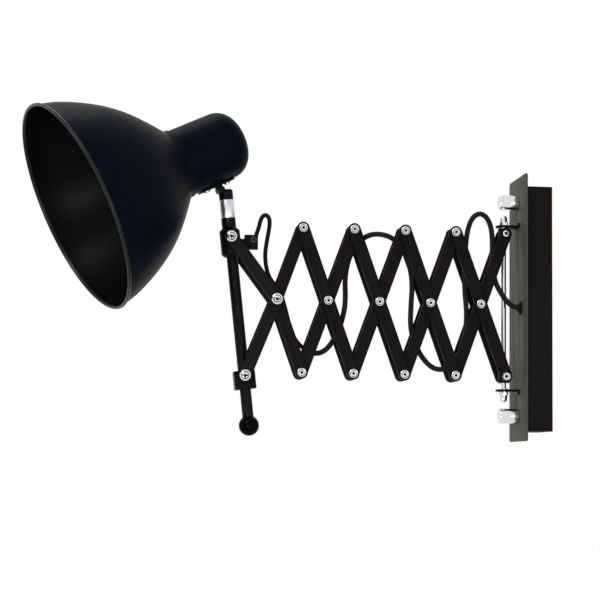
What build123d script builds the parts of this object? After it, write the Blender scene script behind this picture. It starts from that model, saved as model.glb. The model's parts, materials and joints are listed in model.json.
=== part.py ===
"""Accordion wall lamp: a wall unit, a swivelling five-cell scissor arm and a tilting bell shade.

Frame: origin at the centre of the wall unit's back, on the wall. The wall is the plane Y = 0,
-Y points out into the room, +Z is up and +X is the side that the outer arm layer is seen from.
All sizes are in millimetres, all angles in degrees.
"""
from build123d import *
from math import acos, atan2, cos, degrees, hypot, pi, radians, sin, tan
import os

os.makedirs("parts", exist_ok=True)

# ---------------------------------------------------------------- driving dimensions: wall unit
box_height = 240.0
box_width = 58.0
box_depth = 26.0
box_wall = 1.2
box_lip = 5.0
plate_height = 262.0
plate_width = 70.0
plate_thickness = 1.6
plate_corner = 3.5
plate_centre_z = 1.4
stud_inset = 14.0
stud_radius = 2.5
knob_radius = 7.6
knob_length = 19.0
knob_edge = 0.8
crossbar_end_gap = 10.0
crossbar_width = 26.0
crossbar_thickness = 2.0
crossbar_corner = 4.0
wall_hole_spacing = 120.0
wall_hole_radius = 2.75
grommet_x = 12.0
grommet_z = 1.3
grommet_radius = 6.6
grommet_flange = 1.6
grommet_body_radius = 4.6
grommet_nose = 2.0
terminal_size = (24.0, 12.0, 30.0)
terminal_screw_radius = 2.2

# ---------------------------------------------------------------- driving dimensions: pivot rod
rod_radius = 2.5
rod_standoff = 14.3
upper_lug_to_stud = 24.4
lower_lug_to_stud = 24.8
lug_width = 16.0
lug_thickness = 2.0
lug_foot = 3.5
rod_clearance = 0.1
acorn_hex = 8.0
acorn_hex_height = 3.8
acorn_dome_radius = 3.6
rod_washer_radius = 5.0
rod_washer_thickness = 1.0
rod_collar_radius = 5.6
upper_rod_collar_height = 12.0
lower_rod_collar_height = 12.0
rod_collar_boss_radius = 4.6

# ---------------------------------------------------------------- driving dimensions: scissor arm
cells = 5
arm_head_room = 8.0
arm_foot_room = 13.553
bar_width = 12.0
bar_thickness = 2.0
bar_angle = 19.67
layer_gap = 0.2
twin_gap = 15.6
rivet_shank_radius = 2.0
rivet_head_radius = 4.2
rivet_head_height = 1.2
rivet_hollow_radius = 1.1
rivet_hollow_depth = 1.6
spacer_radius = 3.0
turn_clearance = 0.1
face_clearance = 0.1

# ---------------------------------------------------------------- driving dimensions: head bracket
upper_link_reach = 75.0
lower_link_reach = 80.0
collar_span = 135.0
tube_tilt = 6.6
screw_shank_radius = 2.0
screw_head_radius = 3.7
screw_head_height = 1.8
screw_washer_radius = 5.4
screw_washer_thickness = 0.8
recess_width = 0.9
recess_depth = 0.9

# ---------------------------------------------------------------- driving dimensions: head tube
tube_radius = 5.5
tube_wall = 1.2
tube_top = 40.0
ball_radius = 9.9
ball_drop = 183.3
ball_socket_depth = 9.0
upper_collar_radius = 10.0
upper_collar_top = 9.6
upper_collar_bottom = -18.4
upper_collar_chamfer = 2.4
collar_boss_radius = 5.6
lower_collar_size = 20.5
lower_collar_top = 4.9
lower_collar_bottom = -13.1
lower_collar_edge = 0.8
slide_clearance = 0.35
seat_clearance = 0.05
grip_length = 13.0
grip_height = 14.0
grip_depth = 10.0
grip_neck_radius = 3.4
grip_neck_length = 3.5
grip_drop = 3.6
grip_thread = 2.0
grip_turn = 8.6
grip_screw_radius = 3.4

# ---------------------------------------------------------------- driving dimensions: shade head
sleeve_radius = 7.0
sleeve_top = 47.7
sleeve_gap = 0.3
swivel_turn = 15.35
shade_drop = 19.66
tilt_forward = 5.4
tilt_height = 47.85
fork_slot = 4.4
fork_cheek = 2.6
fork_radius = 3.6
fork_plug_length = 6.0
tongue_clearance = 0.2
tilt_bolt_radius = 1.5
neck_radius = 33.4
neck_front = 33.2
neck_length = 72.6
neck_fillet = 19.6
neck_wall = 1.2
saddle_gap = 4.1
saddle_thickness = 1.5
saddle_width = 14.0
saddle_back = -16.0
saddle_front = 20.0
saddle_screw_back = -9.9
saddle_screw_front = 13.3
saddle_screw_radius = 1.9
saddle_screw_head = 3.4
saddle_screw_tail = 3.5
saddle_hole_overrun = 1.5
shade_depth = 108.6
shade_wall = 1.2
shade_profile = ((15.5, 51.1), (31.0, 66.0), (46.6, 77.8), (62.1, 86.8), (77.6, 94.0), (93.1, 99.6))
shade_rim_radius = 102.9
shade_bead_radius = 1.6
shade_collar_length = 5.0
holder_radius = 19.0
holder_front = 26.0
holder_length = 43.0
socket_radius = 13.2
socket_depth = 26.0
thread_wall = 0.4
holder_skirt_length = 14.0
holder_step = 3.0
contact_width = 6.0
contact_length = 16.0
contact_thickness = 0.6
contact_button_radius = 2.5
contact_button_height = 1.2
holder_bracket_width = 16.0
holder_bracket_thickness = 1.5
nipple_radius = 5.0

# ---------------------------------------------------------------- driving dimensions: cord
braid_radius = 2.6
lead_radius = 2.1
bend_share = 0.45
cord_straight_run = 3.6

# ---------------------------------------------------------------- places worked out from them
plate_back = -box_depth
plate_front = plate_back - plate_thickness
rod_y = plate_front - rod_standoff
stud_spacing = box_height - 2 * stud_inset
crossbar_length = box_height - 2 * crossbar_end_gap
stud_heights = [plate_centre_z + stud_spacing / 2, plate_centre_z - stud_spacing / 2]
upper_lug_z = stud_heights[0] - upper_lug_to_stud
lower_lug_z = stud_heights[1] + lower_lug_to_stud
top_pivot_z = upper_lug_z - arm_head_room
half_drop = (top_pivot_z - lower_lug_z - arm_foot_room) / 2
bar_reach = half_drop / cos(radians(bar_angle))
cell_pitch = 2 * bar_reach * sin(radians(bar_angle))
centre_z = top_pivot_z - half_drop
low_pivot_z = top_pivot_z - 2 * half_drop
inner_low = twin_gap / 2
inner_high = inner_low + bar_thickness
outer_low = inner_high + layer_gap
outer_high = outer_low + bar_thickness
lower_link_low = outer_high + layer_gap
lower_link_high = lower_link_low + bar_thickness
upper_link_low = lower_link_high + layer_gap
upper_link_high = upper_link_low + bar_thickness


def top_pivot(number):
    """Upper pivot of the arm; number 5 is on the pivot rod, 1 is next to the head."""
    return (rod_y - (cells - number) * cell_pitch, top_pivot_z)


def low_pivot(number):
    """Lower pivot below the upper pivot of the same number."""
    return (rod_y - (cells - number) * cell_pitch, low_pivot_z)


def middle_pivot(number):
    """Crossing of two bars, half a cell further out than the upper pivot of the same number."""
    return (rod_y - (cells - number + 0.5) * cell_pitch, centre_z)


# head bracket: a triangle of the two links and the stretch of tube between the two collars
upper_angle = degrees(
    acos((upper_link_reach**2 + collar_span**2 - lower_link_reach**2) / (2 * upper_link_reach * collar_span))
)
head_pivot_y, head_pivot_z = middle_pivot(1)
upper_lean = radians(upper_angle + tube_tilt)
collar_y = head_pivot_y - upper_link_reach * sin(upper_lean)
collar_z = head_pivot_z + upper_link_reach * cos(upper_lean)
slider_y = collar_y + collar_span * sin(radians(tube_tilt))
slider_z = collar_z - collar_span * cos(radians(tube_tilt))

tube_up = Vector(0, -sin(radians(tube_tilt)), cos(radians(tube_tilt)))
tube_plane = Plane(origin=(0, collar_y, collar_z), x_dir=(1, 0, 0), z_dir=tube_up)
slider_plane = Plane(origin=(0, slider_y, slider_z), x_dir=(1, 0, 0), z_dir=tube_up)
head_side = Vector(1, 0, 0).rotate(Axis(tube_plane.origin, tube_up), swivel_turn)
head_plane = Plane(origin=tube_plane.origin, x_dir=head_side, z_dir=tube_up)
head_forward = head_plane.y_dir * -1
shade_aim = head_forward * cos(radians(shade_drop)) - tube_up * sin(radians(shade_drop))
neck_up = shade_aim.cross(head_side)
tilt_pivot = tube_plane.origin + head_forward * tilt_forward + tube_up * tilt_height
neck_height = neck_radius + saddle_thickness + saddle_gap
neck_origin = tilt_pivot + neck_up * neck_height
neck_plane = Plane(origin=neck_origin, x_dir=head_side, z_dir=shade_aim)
neck_back = neck_front - neck_length


# ---------------------------------------------------------------- shared builders
def side_plane(x, y=0.0, z=0.0):
    """Plane at depth x that is seen from +X: its own x runs along +Y and its own y along +Z."""
    return Plane(origin=(x, y, z), x_dir=(0, 1, 0), z_dir=(1, 0, 0))


def outward(side, x, y, z):
    """Plane on the +X (side 1) or -X (side -1) face of the arm, facing away from the middle."""
    return Plane(origin=(side * x, y, z), x_dir=(0, side, 0), z_dir=(side, 0, 0))


def profile_plane(plane):
    """Plane for the section of a turned piece: its x is the radius, its y runs along the axis."""
    return Plane(origin=plane.origin, x_dir=plane.x_dir, z_dir=plane.x_dir.cross(plane.z_dir))


def turning_axis(plane):
    return Axis(plane.origin, plane.z_dir)


def write(piece, label):
    piece.label = label
    export_step(piece, f"parts/{label}.step")


def link(start, end, low, hole_radii):
    """Flat bar with round ends between two pivots, as twins on both sides of the arm."""
    middle_y = (start[0] + end[0]) / 2
    middle_z = (start[1] + end[1]) / 2
    length = hypot(end[0] - start[0], end[1] - start[1])
    lean = degrees(atan2(end[1] - start[1], end[0] - start[0]))
    stations = [(-length / 2 + length * share) for share in hole_radii]
    with BuildPart() as bars:
        for face in (low, -low - bar_thickness):
            with BuildSketch(side_plane(face, middle_y, middle_z)):
                with Locations(Rotation(0, 0, lean)):
                    SlotCenterToCenter(length, bar_width)
                    with Locations([(station, 0) for station in stations]):
                        Circle(rivet_shank_radius + turn_clearance, mode=Mode.SUBTRACT)
            extrude(amount=bar_thickness)
    return bars.part


def tubular_rivet(y, z, reach):
    """Through rivet along X with a rolled head at each end and a hollow in each head."""
    with BuildPart() as rivet:
        with BuildSketch(side_plane(-reach, y, z)):
            Circle(rivet_shank_radius)
        extrude(amount=2 * reach)
        for side in (1, -1):
            with BuildSketch(outward(side, reach, y, z)):
                Circle(rivet_head_radius)
            extrude(amount=rivet_head_height)
        chamfer(
            rivet.edges().filter_by(GeomType.CIRCLE).filter_by(
                lambda edge: abs(abs(edge.center().X) - reach - rivet_head_height) < 1e-3
            ),
            length=rivet_head_height / 3,
        )
        for side in (1, -1):
            with BuildSketch(outward(side, reach + rivet_head_height, y, z)):
                Circle(rivet_hollow_radius)
            extrude(amount=-rivet_hollow_depth, mode=Mode.SUBTRACT)
    return rivet.part


def spacer(y, z):
    """Tube that holds the front and rear bars apart, around a rivet or screw."""
    with BuildPart() as tube:
        with BuildSketch(side_plane(-inner_low + face_clearance, y, z)):
            Circle(spacer_radius)
            Circle(rivet_shank_radius + seat_clearance, mode=Mode.SUBTRACT)
        extrude(amount=twin_gap - 2 * face_clearance)
    return tube.part


def cross_screw(seat, shank_radius, shank_length, head_radius, head_height):
    """Pan-head screw with a cross recess; its head stands on the seat and its shank goes below."""
    with BuildPart() as screw:
        with BuildSketch(seat):
            Circle(shank_radius)
        extrude(amount=-shank_length)
        with BuildSketch(seat):
            Circle(head_radius)
        extrude(amount=head_height)
        top_edge = screw.faces().sort_by(Axis(seat.origin, seat.z_dir))[-1].edges()
        fillet(top_edge, radius=head_height * 0.45)
        with BuildSketch(seat.offset(head_height)):
            Rectangle(recess_width, head_radius * 1.1)
            Rectangle(head_radius * 1.1, recess_width)
        extrude(amount=-recess_depth, mode=Mode.SUBTRACT)
    return screw.part


def washer(seat, outer, inner, thickness):
    with BuildPart() as ring:
        with BuildSketch(seat):
            Circle(outer)
            Circle(inner, mode=Mode.SUBTRACT)
        extrude(amount=thickness)
        chamfer(ring.faces().sort_by(Axis(seat.origin, seat.z_dir))[-1].edges(), length=thickness / 4)
    return ring.part


def cord_stretch(points, radius, first, last):
    """Cord along corners first..last of the route, from mid-run to mid-run or to the route's ends."""
    corners = [Vector(*point) for point in points]
    start = corners[0] if first == 0 else (corners[first] + corners[first - 1]) * 0.5
    end = corners[-1] if last == len(corners) - 1 else (corners[last] + corners[last + 1]) * 0.5
    inner = corners[max(first, 1):min(last, len(corners) - 2) + 1]
    path = [start, *inner, end]
    bends = [cord_bend(corners, index) for index in range(max(first, 1), min(last, len(corners) - 2) + 1)]
    with BuildPart() as stretch:
        with BuildLine() as route:
            FilletPolyline(*path, radius=bends)
        with BuildSketch(Plane(origin=route.line @ 0, z_dir=route.line % 0)):
            Circle(radius)
        sweep(path=route.line)
    length = sum(edge.length for edge in route.edges())
    section = pi * radius**2
    print(f"  stretch {first}-{last}: length {length:.1f}, volume over section {stretch.part.volume / section:.1f}")
    return stretch.part


def cord_bend(corners, index):
    """Largest even bend at a corner: a share of its shorter run over the tangent of half its turn."""
    before = corners[index] - corners[index - 1]
    after = corners[index + 1] - corners[index]
    turn = radians(before.get_angle(after))
    return bend_share * min(before.length, after.length) / tan(turn / 2)


# ================================================================ wall unit
# sheet-steel cover box, open to the wall, with a narrow lip turned in along the wall
with BuildPart() as wall_box:
    with BuildSketch(Plane.XZ.offset(0)):
        Rectangle(box_width, box_height)
    extrude(amount=box_depth)
    with BuildSketch(Plane.XZ.offset(-1)):
        Rectangle(box_width - 2 * box_lip, box_height - 2 * box_lip)
    extrude(amount=box_depth + 2, mode=Mode.SUBTRACT)
    with BuildSketch(Plane.XZ.offset(box_wall)):
        Rectangle(box_width - 2 * box_wall, box_height - 2 * box_wall)
    extrude(amount=box_depth, mode=Mode.SUBTRACT)
write(wall_box.part, "wall_box")

# front plate with holes for the two studs and the cord grommet
with BuildPart() as front_plate:
    with BuildSketch(Plane.XZ.offset(-plate_back)):
        with Locations((0, plate_centre_z)):
            RectangleRounded(plate_width, plate_height, plate_corner)
        with Locations([(0, height) for height in stud_heights]):
            Circle(stud_radius + turn_clearance, mode=Mode.SUBTRACT)
        with Locations((grommet_x, grommet_z)):
            Circle(grommet_body_radius + turn_clearance, mode=Mode.SUBTRACT)
    extrude(amount=plate_thickness)
write(front_plate.part, "front_plate")

# crossbar that is screwed to the wall and carries the two studs
with BuildPart() as wall_crossbar:
    with BuildSketch(Plane.XZ):
        with Locations((0, plate_centre_z)):
            RectangleRounded(crossbar_width, crossbar_length, crossbar_corner)
        with Locations((0, wall_hole_spacing / 2), (0, -wall_hole_spacing / 2)):
            Circle(wall_hole_radius, mode=Mode.SUBTRACT)
        with Locations([(0, height) for height in stud_heights]):
            Circle(stud_radius + seat_clearance, mode=Mode.SUBTRACT)
    extrude(amount=crossbar_thickness)
write(wall_crossbar.part, "wall_crossbar")

# studs and their locking nuts behind the plate
stud_reach = box_depth + plate_thickness + knob_length * 0.6
stud_nut_height = 4.0
with BuildPart() as mounting_studs:
    for height in stud_heights:
        with BuildSketch(Plane.XZ):
            with Locations((0, height)):
                Circle(stud_radius)
        extrude(amount=stud_reach)
        with BuildSketch(Plane.XZ.offset(crossbar_thickness)):
            with Locations((0, height)):
                RegularPolygon(acorn_hex / 2, 6, major_radius=False)
        extrude(amount=stud_nut_height)
write(mounting_studs.part, "mounting_studs")

# bright cylindrical cap nuts that hold the cover on the studs
with BuildPart() as cap_nuts:
    for height in stud_heights:
        seat = Plane(origin=(0, plate_front, height), x_dir=(1, 0, 0), z_dir=(0, -1, 0))
        with BuildSketch(seat):
            Circle(knob_radius)
        extrude(amount=knob_length)
    chamfer(
        cap_nuts.edges().filter_by(GeomType.CIRCLE),
        length=knob_edge,
    )
    for height in stud_heights:
        seat = Plane(origin=(0, plate_front, height), x_dir=(1, 0, 0), z_dir=(0, -1, 0))
        with BuildSketch(seat):
            Circle(stud_radius + seat_clearance)
        extrude(amount=knob_length * 0.6 + 0.5, mode=Mode.SUBTRACT)
write(cap_nuts.part, "cap_nuts")

# moulded bushing where the cord leaves the plate
grommet_plane = Plane(origin=(grommet_x, plate_front, grommet_z), x_dir=(1, 0, 0), z_dir=(0, -1, 0))
with BuildPart() as cord_grommet:
    with BuildSketch(profile_plane(grommet_plane)):
        with BuildLine():
            Polyline(
                (braid_radius + seat_clearance, -plate_thickness - 2.5),
                (grommet_body_radius, -plate_thickness - 2.5),
                (grommet_body_radius, 0),
                (grommet_radius, 0),
                (grommet_radius, grommet_flange),
                (braid_radius + 1.6, grommet_flange + grommet_nose),
                (braid_radius + seat_clearance, grommet_flange + grommet_nose),
                close=True,
            )
        make_face()
    revolve(axis=turning_axis(grommet_plane))
write(cord_grommet.part, "cord_grommet")

# three-way terminal block on the crossbar and its clamping screws
terminal_z = -35.0
terminal_width, terminal_depth, terminal_height = terminal_size
terminal_front = crossbar_thickness + terminal_depth
terminal_rows = [terminal_z + terminal_height * share for share in (-1 / 3, 0, 1 / 3)]
terminal_columns = (-terminal_width / 4, terminal_width / 4)
with BuildPart() as terminal_block:
    with BuildSketch(Plane.XZ.offset(crossbar_thickness)):
        with Locations((0, terminal_z)):
            RectangleRounded(terminal_width, terminal_height, 1.5)
    extrude(amount=terminal_depth)
    with BuildSketch(Plane.XZ.offset(terminal_front)):
        for row in terminal_rows:
            with Locations([(column, row) for column in terminal_columns]):
                Circle(terminal_screw_radius + turn_clearance)
    extrude(amount=-terminal_depth / 2, mode=Mode.SUBTRACT)
write(terminal_block.part, "terminal_block")

with BuildPart() as terminal_screws:
    for row in terminal_rows:
        for column in terminal_columns:
            with BuildSketch(Plane.XZ.offset(terminal_front - terminal_depth / 2)):
                with Locations((column, row)):
                    Circle(terminal_screw_radius)
            extrude(amount=terminal_depth / 2 - 0.6)
            with BuildSketch(Plane.XZ.offset(terminal_front - 0.6)):
                with Locations((column, row)):
                    Rectangle(2 * terminal_screw_radius, 0.7)
            extrude(amount=-0.8, mode=Mode.SUBTRACT)
write(terminal_screws.part, "terminal_screws")

# ================================================================ pivot rod
# bent sheet lugs: a foot welded to the plate and a tongue with a round end around the rod
lug_reach = rod_standoff


def rod_lug(height, side):
    """Lug at a height; side 1 has its foot turned up, side -1 has it turned down."""
    with BuildPart() as lug:
        with BuildSketch(Plane.XY.offset(height - lug_thickness / 2)):
            with Locations((0, plate_front - lug_reach / 2)):
                Rectangle(lug_width, lug_reach)
            with Locations((0, rod_y)):
                Circle(lug_width / 2)
                Circle(rod_radius + rod_clearance, mode=Mode.SUBTRACT)
        extrude(amount=lug_thickness)
        with BuildSketch(Plane.XZ.offset(-plate_front)):
            with Locations((0, height + side * (lug_foot - lug_thickness / 2) / 2)):
                Rectangle(lug_width, lug_foot + lug_thickness / 2)
        extrude(amount=lug_thickness)
    return lug.part


with BuildPart() as upper_rod_lug:
    add(rod_lug(upper_lug_z, 1))
write(upper_rod_lug.part, "upper_rod_lug")

with BuildPart() as lower_rod_lug:
    add(rod_lug(lower_lug_z, -1))
write(lower_rod_lug.part, "lower_rod_lug")

rod_low = lower_lug_z - lug_thickness / 2
rod_high = upper_lug_z + lug_thickness / 2
with BuildPart() as pivot_rod:
    with BuildSketch(Plane.XY.offset(rod_low - acorn_hex_height)):
        with Locations((0, rod_y)):
            Circle(rod_radius)
    extrude(amount=rod_high - rod_low + 2 * acorn_hex_height)
write(pivot_rod.part, "pivot_rod")

# domed nuts on the rod's two threaded ends
with BuildPart() as acorn_nuts:
    for height, side in ((rod_high, 1), (rod_low, -1)):
        seat = Plane(origin=(0, rod_y, height), x_dir=(1, 0, 0), z_dir=(0, 0, side))
        with BuildSketch(seat):
            RegularPolygon(acorn_hex / 2, 6, major_radius=False)
        extrude(amount=acorn_hex_height)
        with BuildSketch(profile_plane(seat)):
            with BuildLine():
                Line((0, acorn_hex_height), (acorn_dome_radius, acorn_hex_height))
                Line((acorn_dome_radius, acorn_hex_height), (acorn_dome_radius, acorn_hex_height + 3.2))
                RadiusArc(
                    (acorn_dome_radius, acorn_hex_height + 3.2),
                    (0, acorn_hex_height + 3.2 + acorn_dome_radius),
                    -acorn_dome_radius,
                )
                Line((0, acorn_hex_height + 3.2 + acorn_dome_radius), (0, acorn_hex_height))
            make_face()
        revolve(axis=turning_axis(seat))
        with BuildSketch(seat):
            Circle(rod_radius + seat_clearance)
        extrude(amount=acorn_hex_height + seat_clearance, mode=Mode.SUBTRACT)
write(acorn_nuts.part, "acorn_nuts")

# bright washers: one on the lower lug, one under the upper lug
with BuildPart() as rod_washers:
    for height in (lower_lug_z + lug_thickness / 2, upper_lug_z - lug_thickness / 2 - rod_washer_thickness):
        seat = Plane(origin=(0, rod_y, height), x_dir=(1, 0, 0), z_dir=(0, 0, 1))
        add(washer(seat, rod_washer_radius, rod_radius + rod_clearance, rod_washer_thickness))
write(rod_washers.part, "rod_washers")


def rod_collar(height, low, high, boss_reach):
    """Sleeve that turns or slides on the rod, with a cross boss for the arm's pivot."""
    with BuildPart() as collar:
        with BuildSketch(Plane.XY.offset(height + low)):
            with Locations((0, rod_y)):
                Circle(rod_collar_radius)
        extrude(amount=high - low)
        with BuildSketch(side_plane(-boss_reach, rod_y, height)):
            Circle(rod_collar_boss_radius)
        extrude(amount=2 * boss_reach)
        with BuildSketch(side_plane(-boss_reach, rod_y, height)):
            Circle(screw_shank_radius + seat_clearance)
        extrude(amount=2 * boss_reach, mode=Mode.SUBTRACT)
        with BuildSketch(Plane.XY.offset(height + low)):
            with Locations((0, rod_y)):
                Circle(rod_radius + rod_clearance)
        extrude(amount=high - low, mode=Mode.SUBTRACT)
    return collar.part


# the upper collar turns under the upper lug and is stopped from sliding by its own height
upper_collar_lift = upper_lug_z - lug_thickness / 2 - rod_washer_thickness - face_clearance - top_pivot_z
with BuildPart() as upper_rod_collar:
    add(
        rod_collar(
            top_pivot_z,
            upper_collar_lift - upper_rod_collar_height,
            upper_collar_lift,
            inner_low - face_clearance,
        )
    )
write(upper_rod_collar.part, "upper_rod_collar")

with BuildPart() as lower_rod_collar:
    add(
        rod_collar(
            low_pivot_z,
            -lower_rod_collar_height / 2,
            lower_rod_collar_height / 2,
            outer_low - face_clearance,
        )
    )
write(lower_rod_collar.part, "lower_rod_collar")

rod_screw_end = rod_radius + 1.0
with BuildPart() as upper_rod_collar_screws:
    for side in (1, -1):
        seat = outward(side, inner_high + face_clearance, rod_y, top_pivot_z)
        reach = inner_high + face_clearance - rod_screw_end
        add(cross_screw(seat, screw_shank_radius, reach, screw_head_radius, screw_head_height))
write(upper_rod_collar_screws.part, "upper_rod_collar_screws")

with BuildPart() as lower_rod_collar_rivets:
    for side in (1, -1):
        seat = outward(side, outer_high + face_clearance, rod_y, low_pivot_z)
        with BuildSketch(seat):
            Circle(rivet_head_radius)
            Circle(rivet_hollow_radius, mode=Mode.SUBTRACT)
        extrude(amount=rivet_head_height)
        with BuildSketch(seat):
            Circle(rivet_shank_radius)
        extrude(amount=-(outer_high + face_clearance - rod_screw_end))
write(lower_rod_collar_rivets.part, "lower_rod_collar_rivets")

# ================================================================ scissor arm
rivet_reach = outer_high + face_clearance
for number in range(2, cells + 1):
    # rising bars: inner layer, from the lower pivot on the head side up to the wall side
    with BuildPart() as rising_bars:
        add(link(low_pivot(number - 1), top_pivot(number), inner_low, (0, 0.5, 1)))
    write(rising_bars.part, f"rising_bars_{number}")

    # falling bars: outer layer, from the upper pivot on the head side down to the wall side
    with BuildPart() as falling_bars:
        add(link(top_pivot(number - 1), low_pivot(number), outer_low, (0, 0.5, 1)))
    write(falling_bars.part, f"falling_bars_{number}")

    # rivets and spacers held by these rising bars; the bars on the rod end in screws instead
    pivots = [low_pivot(number - 1), middle_pivot(number)]
    if number < cells:
        pivots.append(top_pivot(number))
    with BuildPart() as arm_rivets:
        for y, z in pivots:
            add(tubular_rivet(y, z, rivet_reach))
            add(spacer(y, z))
    write(arm_rivets.part, f"arm_rivets_{number}")

with BuildPart() as rising_half_bars:
    add(link(middle_pivot(1), top_pivot(1), inner_low, (0, 1)))
write(rising_half_bars.part, "rising_half_bars")

with BuildPart() as falling_half_bars:
    add(link(middle_pivot(1), low_pivot(1), outer_low, (0, 1)))
write(falling_half_bars.part, "falling_half_bars")

with BuildPart() as arm_rivets_1:
    add(tubular_rivet(*top_pivot(1), rivet_reach))
    add(spacer(*top_pivot(1)))
write(arm_rivets_1.part, "arm_rivets_1")

# through bolt at the end of the arm: spacer, bolt with a head on each side, and bright cup washers
head_seat = upper_link_high + face_clearance
with BuildPart() as head_pivot_bolt:
    add(spacer(head_pivot_y, head_pivot_z))
    with BuildSketch(side_plane(-head_seat - screw_washer_thickness, head_pivot_y, head_pivot_z)):
        Circle(screw_shank_radius)
    extrude(amount=2 * (head_seat + screw_washer_thickness))
    for side in (1, -1):
        seat = outward(side, head_seat, head_pivot_y, head_pivot_z)
        add(washer(seat, screw_washer_radius, screw_shank_radius, screw_washer_thickness))
        head = outward(side, head_seat + screw_washer_thickness, head_pivot_y, head_pivot_z)
        add(cross_screw(head, screw_shank_radius, screw_washer_thickness, screw_head_radius, screw_head_height))
write(head_pivot_bolt.part, "head_pivot_bolt")

# ================================================================ lead to the head
# cord grip beside the clamp collar: its plane is on the collar's side, facing the arm
grip_plane = Plane(
    origin=tube_plane.origin - tube_up * grip_drop + Vector(0, upper_collar_radius, 0),
    x_dir=(1, 0, 0),
    z_dir=(0, 1, 0),
)
grip_turn_y = grip_plane.origin.Y + grip_neck_length + grip_turn
grip_screw_seat = side_plane(
    grip_depth / 2,
    grip_turn_y,
    grip_plane.origin.Z + 2,
)
# corners of the plain lead that comes out of the braid and goes into the cord grip
lead_route = (
    (0.0, -240.0, -42.5),
    (0.0, -247.6, -37.5),
    (0.0, -254.6, -22.0),
    (0.0, -260.2, 0.0),
    (0.0, -265.4, 15.5),
    (0.0, -276.4, 26.2),
    (0.0, -280.6, 46.7),
    (0.0, -277.8, 66.0),
    (0.0, -275.7, 78.0),
    (0.0, -276.2, 85.6),
    (0.0, -280.4, 88.8),
    (0.0, -284.4, 85.0),
    (0.0, -286.6, 74.5),
    (0.0, grip_turn_y, grip_plane.origin.Z),
    (0.0, collar_y, grip_plane.origin.Z),
)
# passage of the lead through the grip, the collar and the tube's wall
with BuildPart() as lead_bore:
    with BuildLine() as bore_route:
        bore_corners = [Vector(*point) for point in lead_route[-4:]]
        bore_bends = [cord_bend(bore_corners, index) for index in (1, 2)]
        FilletPolyline(*bore_corners, radius=bore_bends)
    with BuildSketch(Plane(origin=bore_route.line @ 0, z_dir=bore_route.line % 0)):
        Circle(lead_radius + seat_clearance)
    sweep(path=bore_route.line)

# ================================================================ head bracket
with BuildPart() as upper_links:
    add(link((head_pivot_y, head_pivot_z), (collar_y, collar_z), upper_link_low, (0, 1)))
write(upper_links.part, "upper_links")

with BuildPart() as lower_links:
    add(link((head_pivot_y, head_pivot_z), (slider_y, slider_z), lower_link_low, (0, 1)))
write(lower_links.part, "lower_links")


def link_screws(plane, link_outer):
    """Two bright screws with cup washers that hold a pair of links to a collar on the tube."""
    seat_x = link_outer + face_clearance
    with BuildPart() as screws:
        for side in (1, -1):
            seat = outward(side, seat_x, plane.origin.Y, plane.origin.Z)
            add(washer(seat, screw_washer_radius, screw_shank_radius, screw_washer_thickness))
            head = seat.offset(screw_washer_thickness)
            reach = seat_x + screw_washer_thickness - tube_radius - 1.2
            add(cross_screw(head, screw_shank_radius, reach, screw_head_radius, screw_head_height))
    return screws.part


# clamp collar, fixed on the tube: turned, with bevelled shoulders and a boss for each link
with BuildPart() as upper_collar:
    with BuildSketch(tube_plane.offset(upper_collar_bottom)):
        Circle(upper_collar_radius)
    extrude(amount=upper_collar_top - upper_collar_bottom)
    chamfer(upper_collar.edges().filter_by(GeomType.CIRCLE), length=upper_collar_chamfer)
    with BuildSketch(side_plane(-upper_link_low + face_clearance, collar_y, collar_z)):
        Circle(collar_boss_radius)
    extrude(amount=2 * (upper_link_low - face_clearance))
    with BuildSketch(side_plane(-upper_link_low, collar_y, collar_z)):
        Circle(screw_shank_radius + seat_clearance)
    extrude(amount=2 * upper_link_low, mode=Mode.SUBTRACT)
    with BuildSketch(tube_plane.offset(upper_collar_bottom)):
        Circle(tube_radius + seat_clearance)
    extrude(amount=upper_collar_top - upper_collar_bottom, mode=Mode.SUBTRACT)
    with BuildSketch(grip_plane.offset(-grip_thread - seat_clearance)):
        Circle(grip_neck_radius + seat_clearance)
    extrude(amount=upper_collar_radius, mode=Mode.SUBTRACT)
    add(lead_bore, mode=Mode.SUBTRACT)
write(upper_collar.part, "upper_collar")

with BuildPart() as upper_collar_screws:
    add(link_screws(tube_plane, upper_link_high))
write(upper_collar_screws.part, "upper_collar_screws")

# square sliding collar, free on the tube
with BuildPart() as lower_collar:
    with BuildSketch(slider_plane.offset(lower_collar_bottom)):
        Rectangle(lower_collar_size, lower_collar_size)
    extrude(amount=lower_collar_top - lower_collar_bottom)
    chamfer(lower_collar.edges(), length=lower_collar_edge)
    with BuildSketch(side_plane(-lower_link_low + face_clearance, slider_y, slider_z)):
        Circle(collar_boss_radius)
    extrude(amount=2 * (lower_link_low - face_clearance))
    with BuildSketch(side_plane(-lower_link_low, slider_y, slider_z)):
        Circle(screw_shank_radius + seat_clearance)
    extrude(amount=2 * lower_link_low, mode=Mode.SUBTRACT)
    with BuildSketch(slider_plane.offset(lower_collar_bottom)):
        Circle(tube_radius + slide_clearance)
    extrude(amount=collar_boss_radius - lower_collar_bottom, mode=Mode.SUBTRACT)
write(lower_collar.part, "lower_collar")

with BuildPart() as lower_collar_screws:
    add(link_screws(slider_plane, lower_link_high))
write(lower_collar_screws.part, "lower_collar_screws")

# ================================================================ head tube
tube_bottom = -ball_drop + ball_radius - ball_socket_depth
with BuildPart() as head_tube:
    with BuildSketch(tube_plane.offset(tube_bottom)):
        Circle(tube_radius)
        Circle(tube_radius - tube_wall, mode=Mode.SUBTRACT)
    extrude(amount=tube_top - tube_bottom)
    add(lead_bore, mode=Mode.SUBTRACT)
write(head_tube.part, "head_tube")

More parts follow.
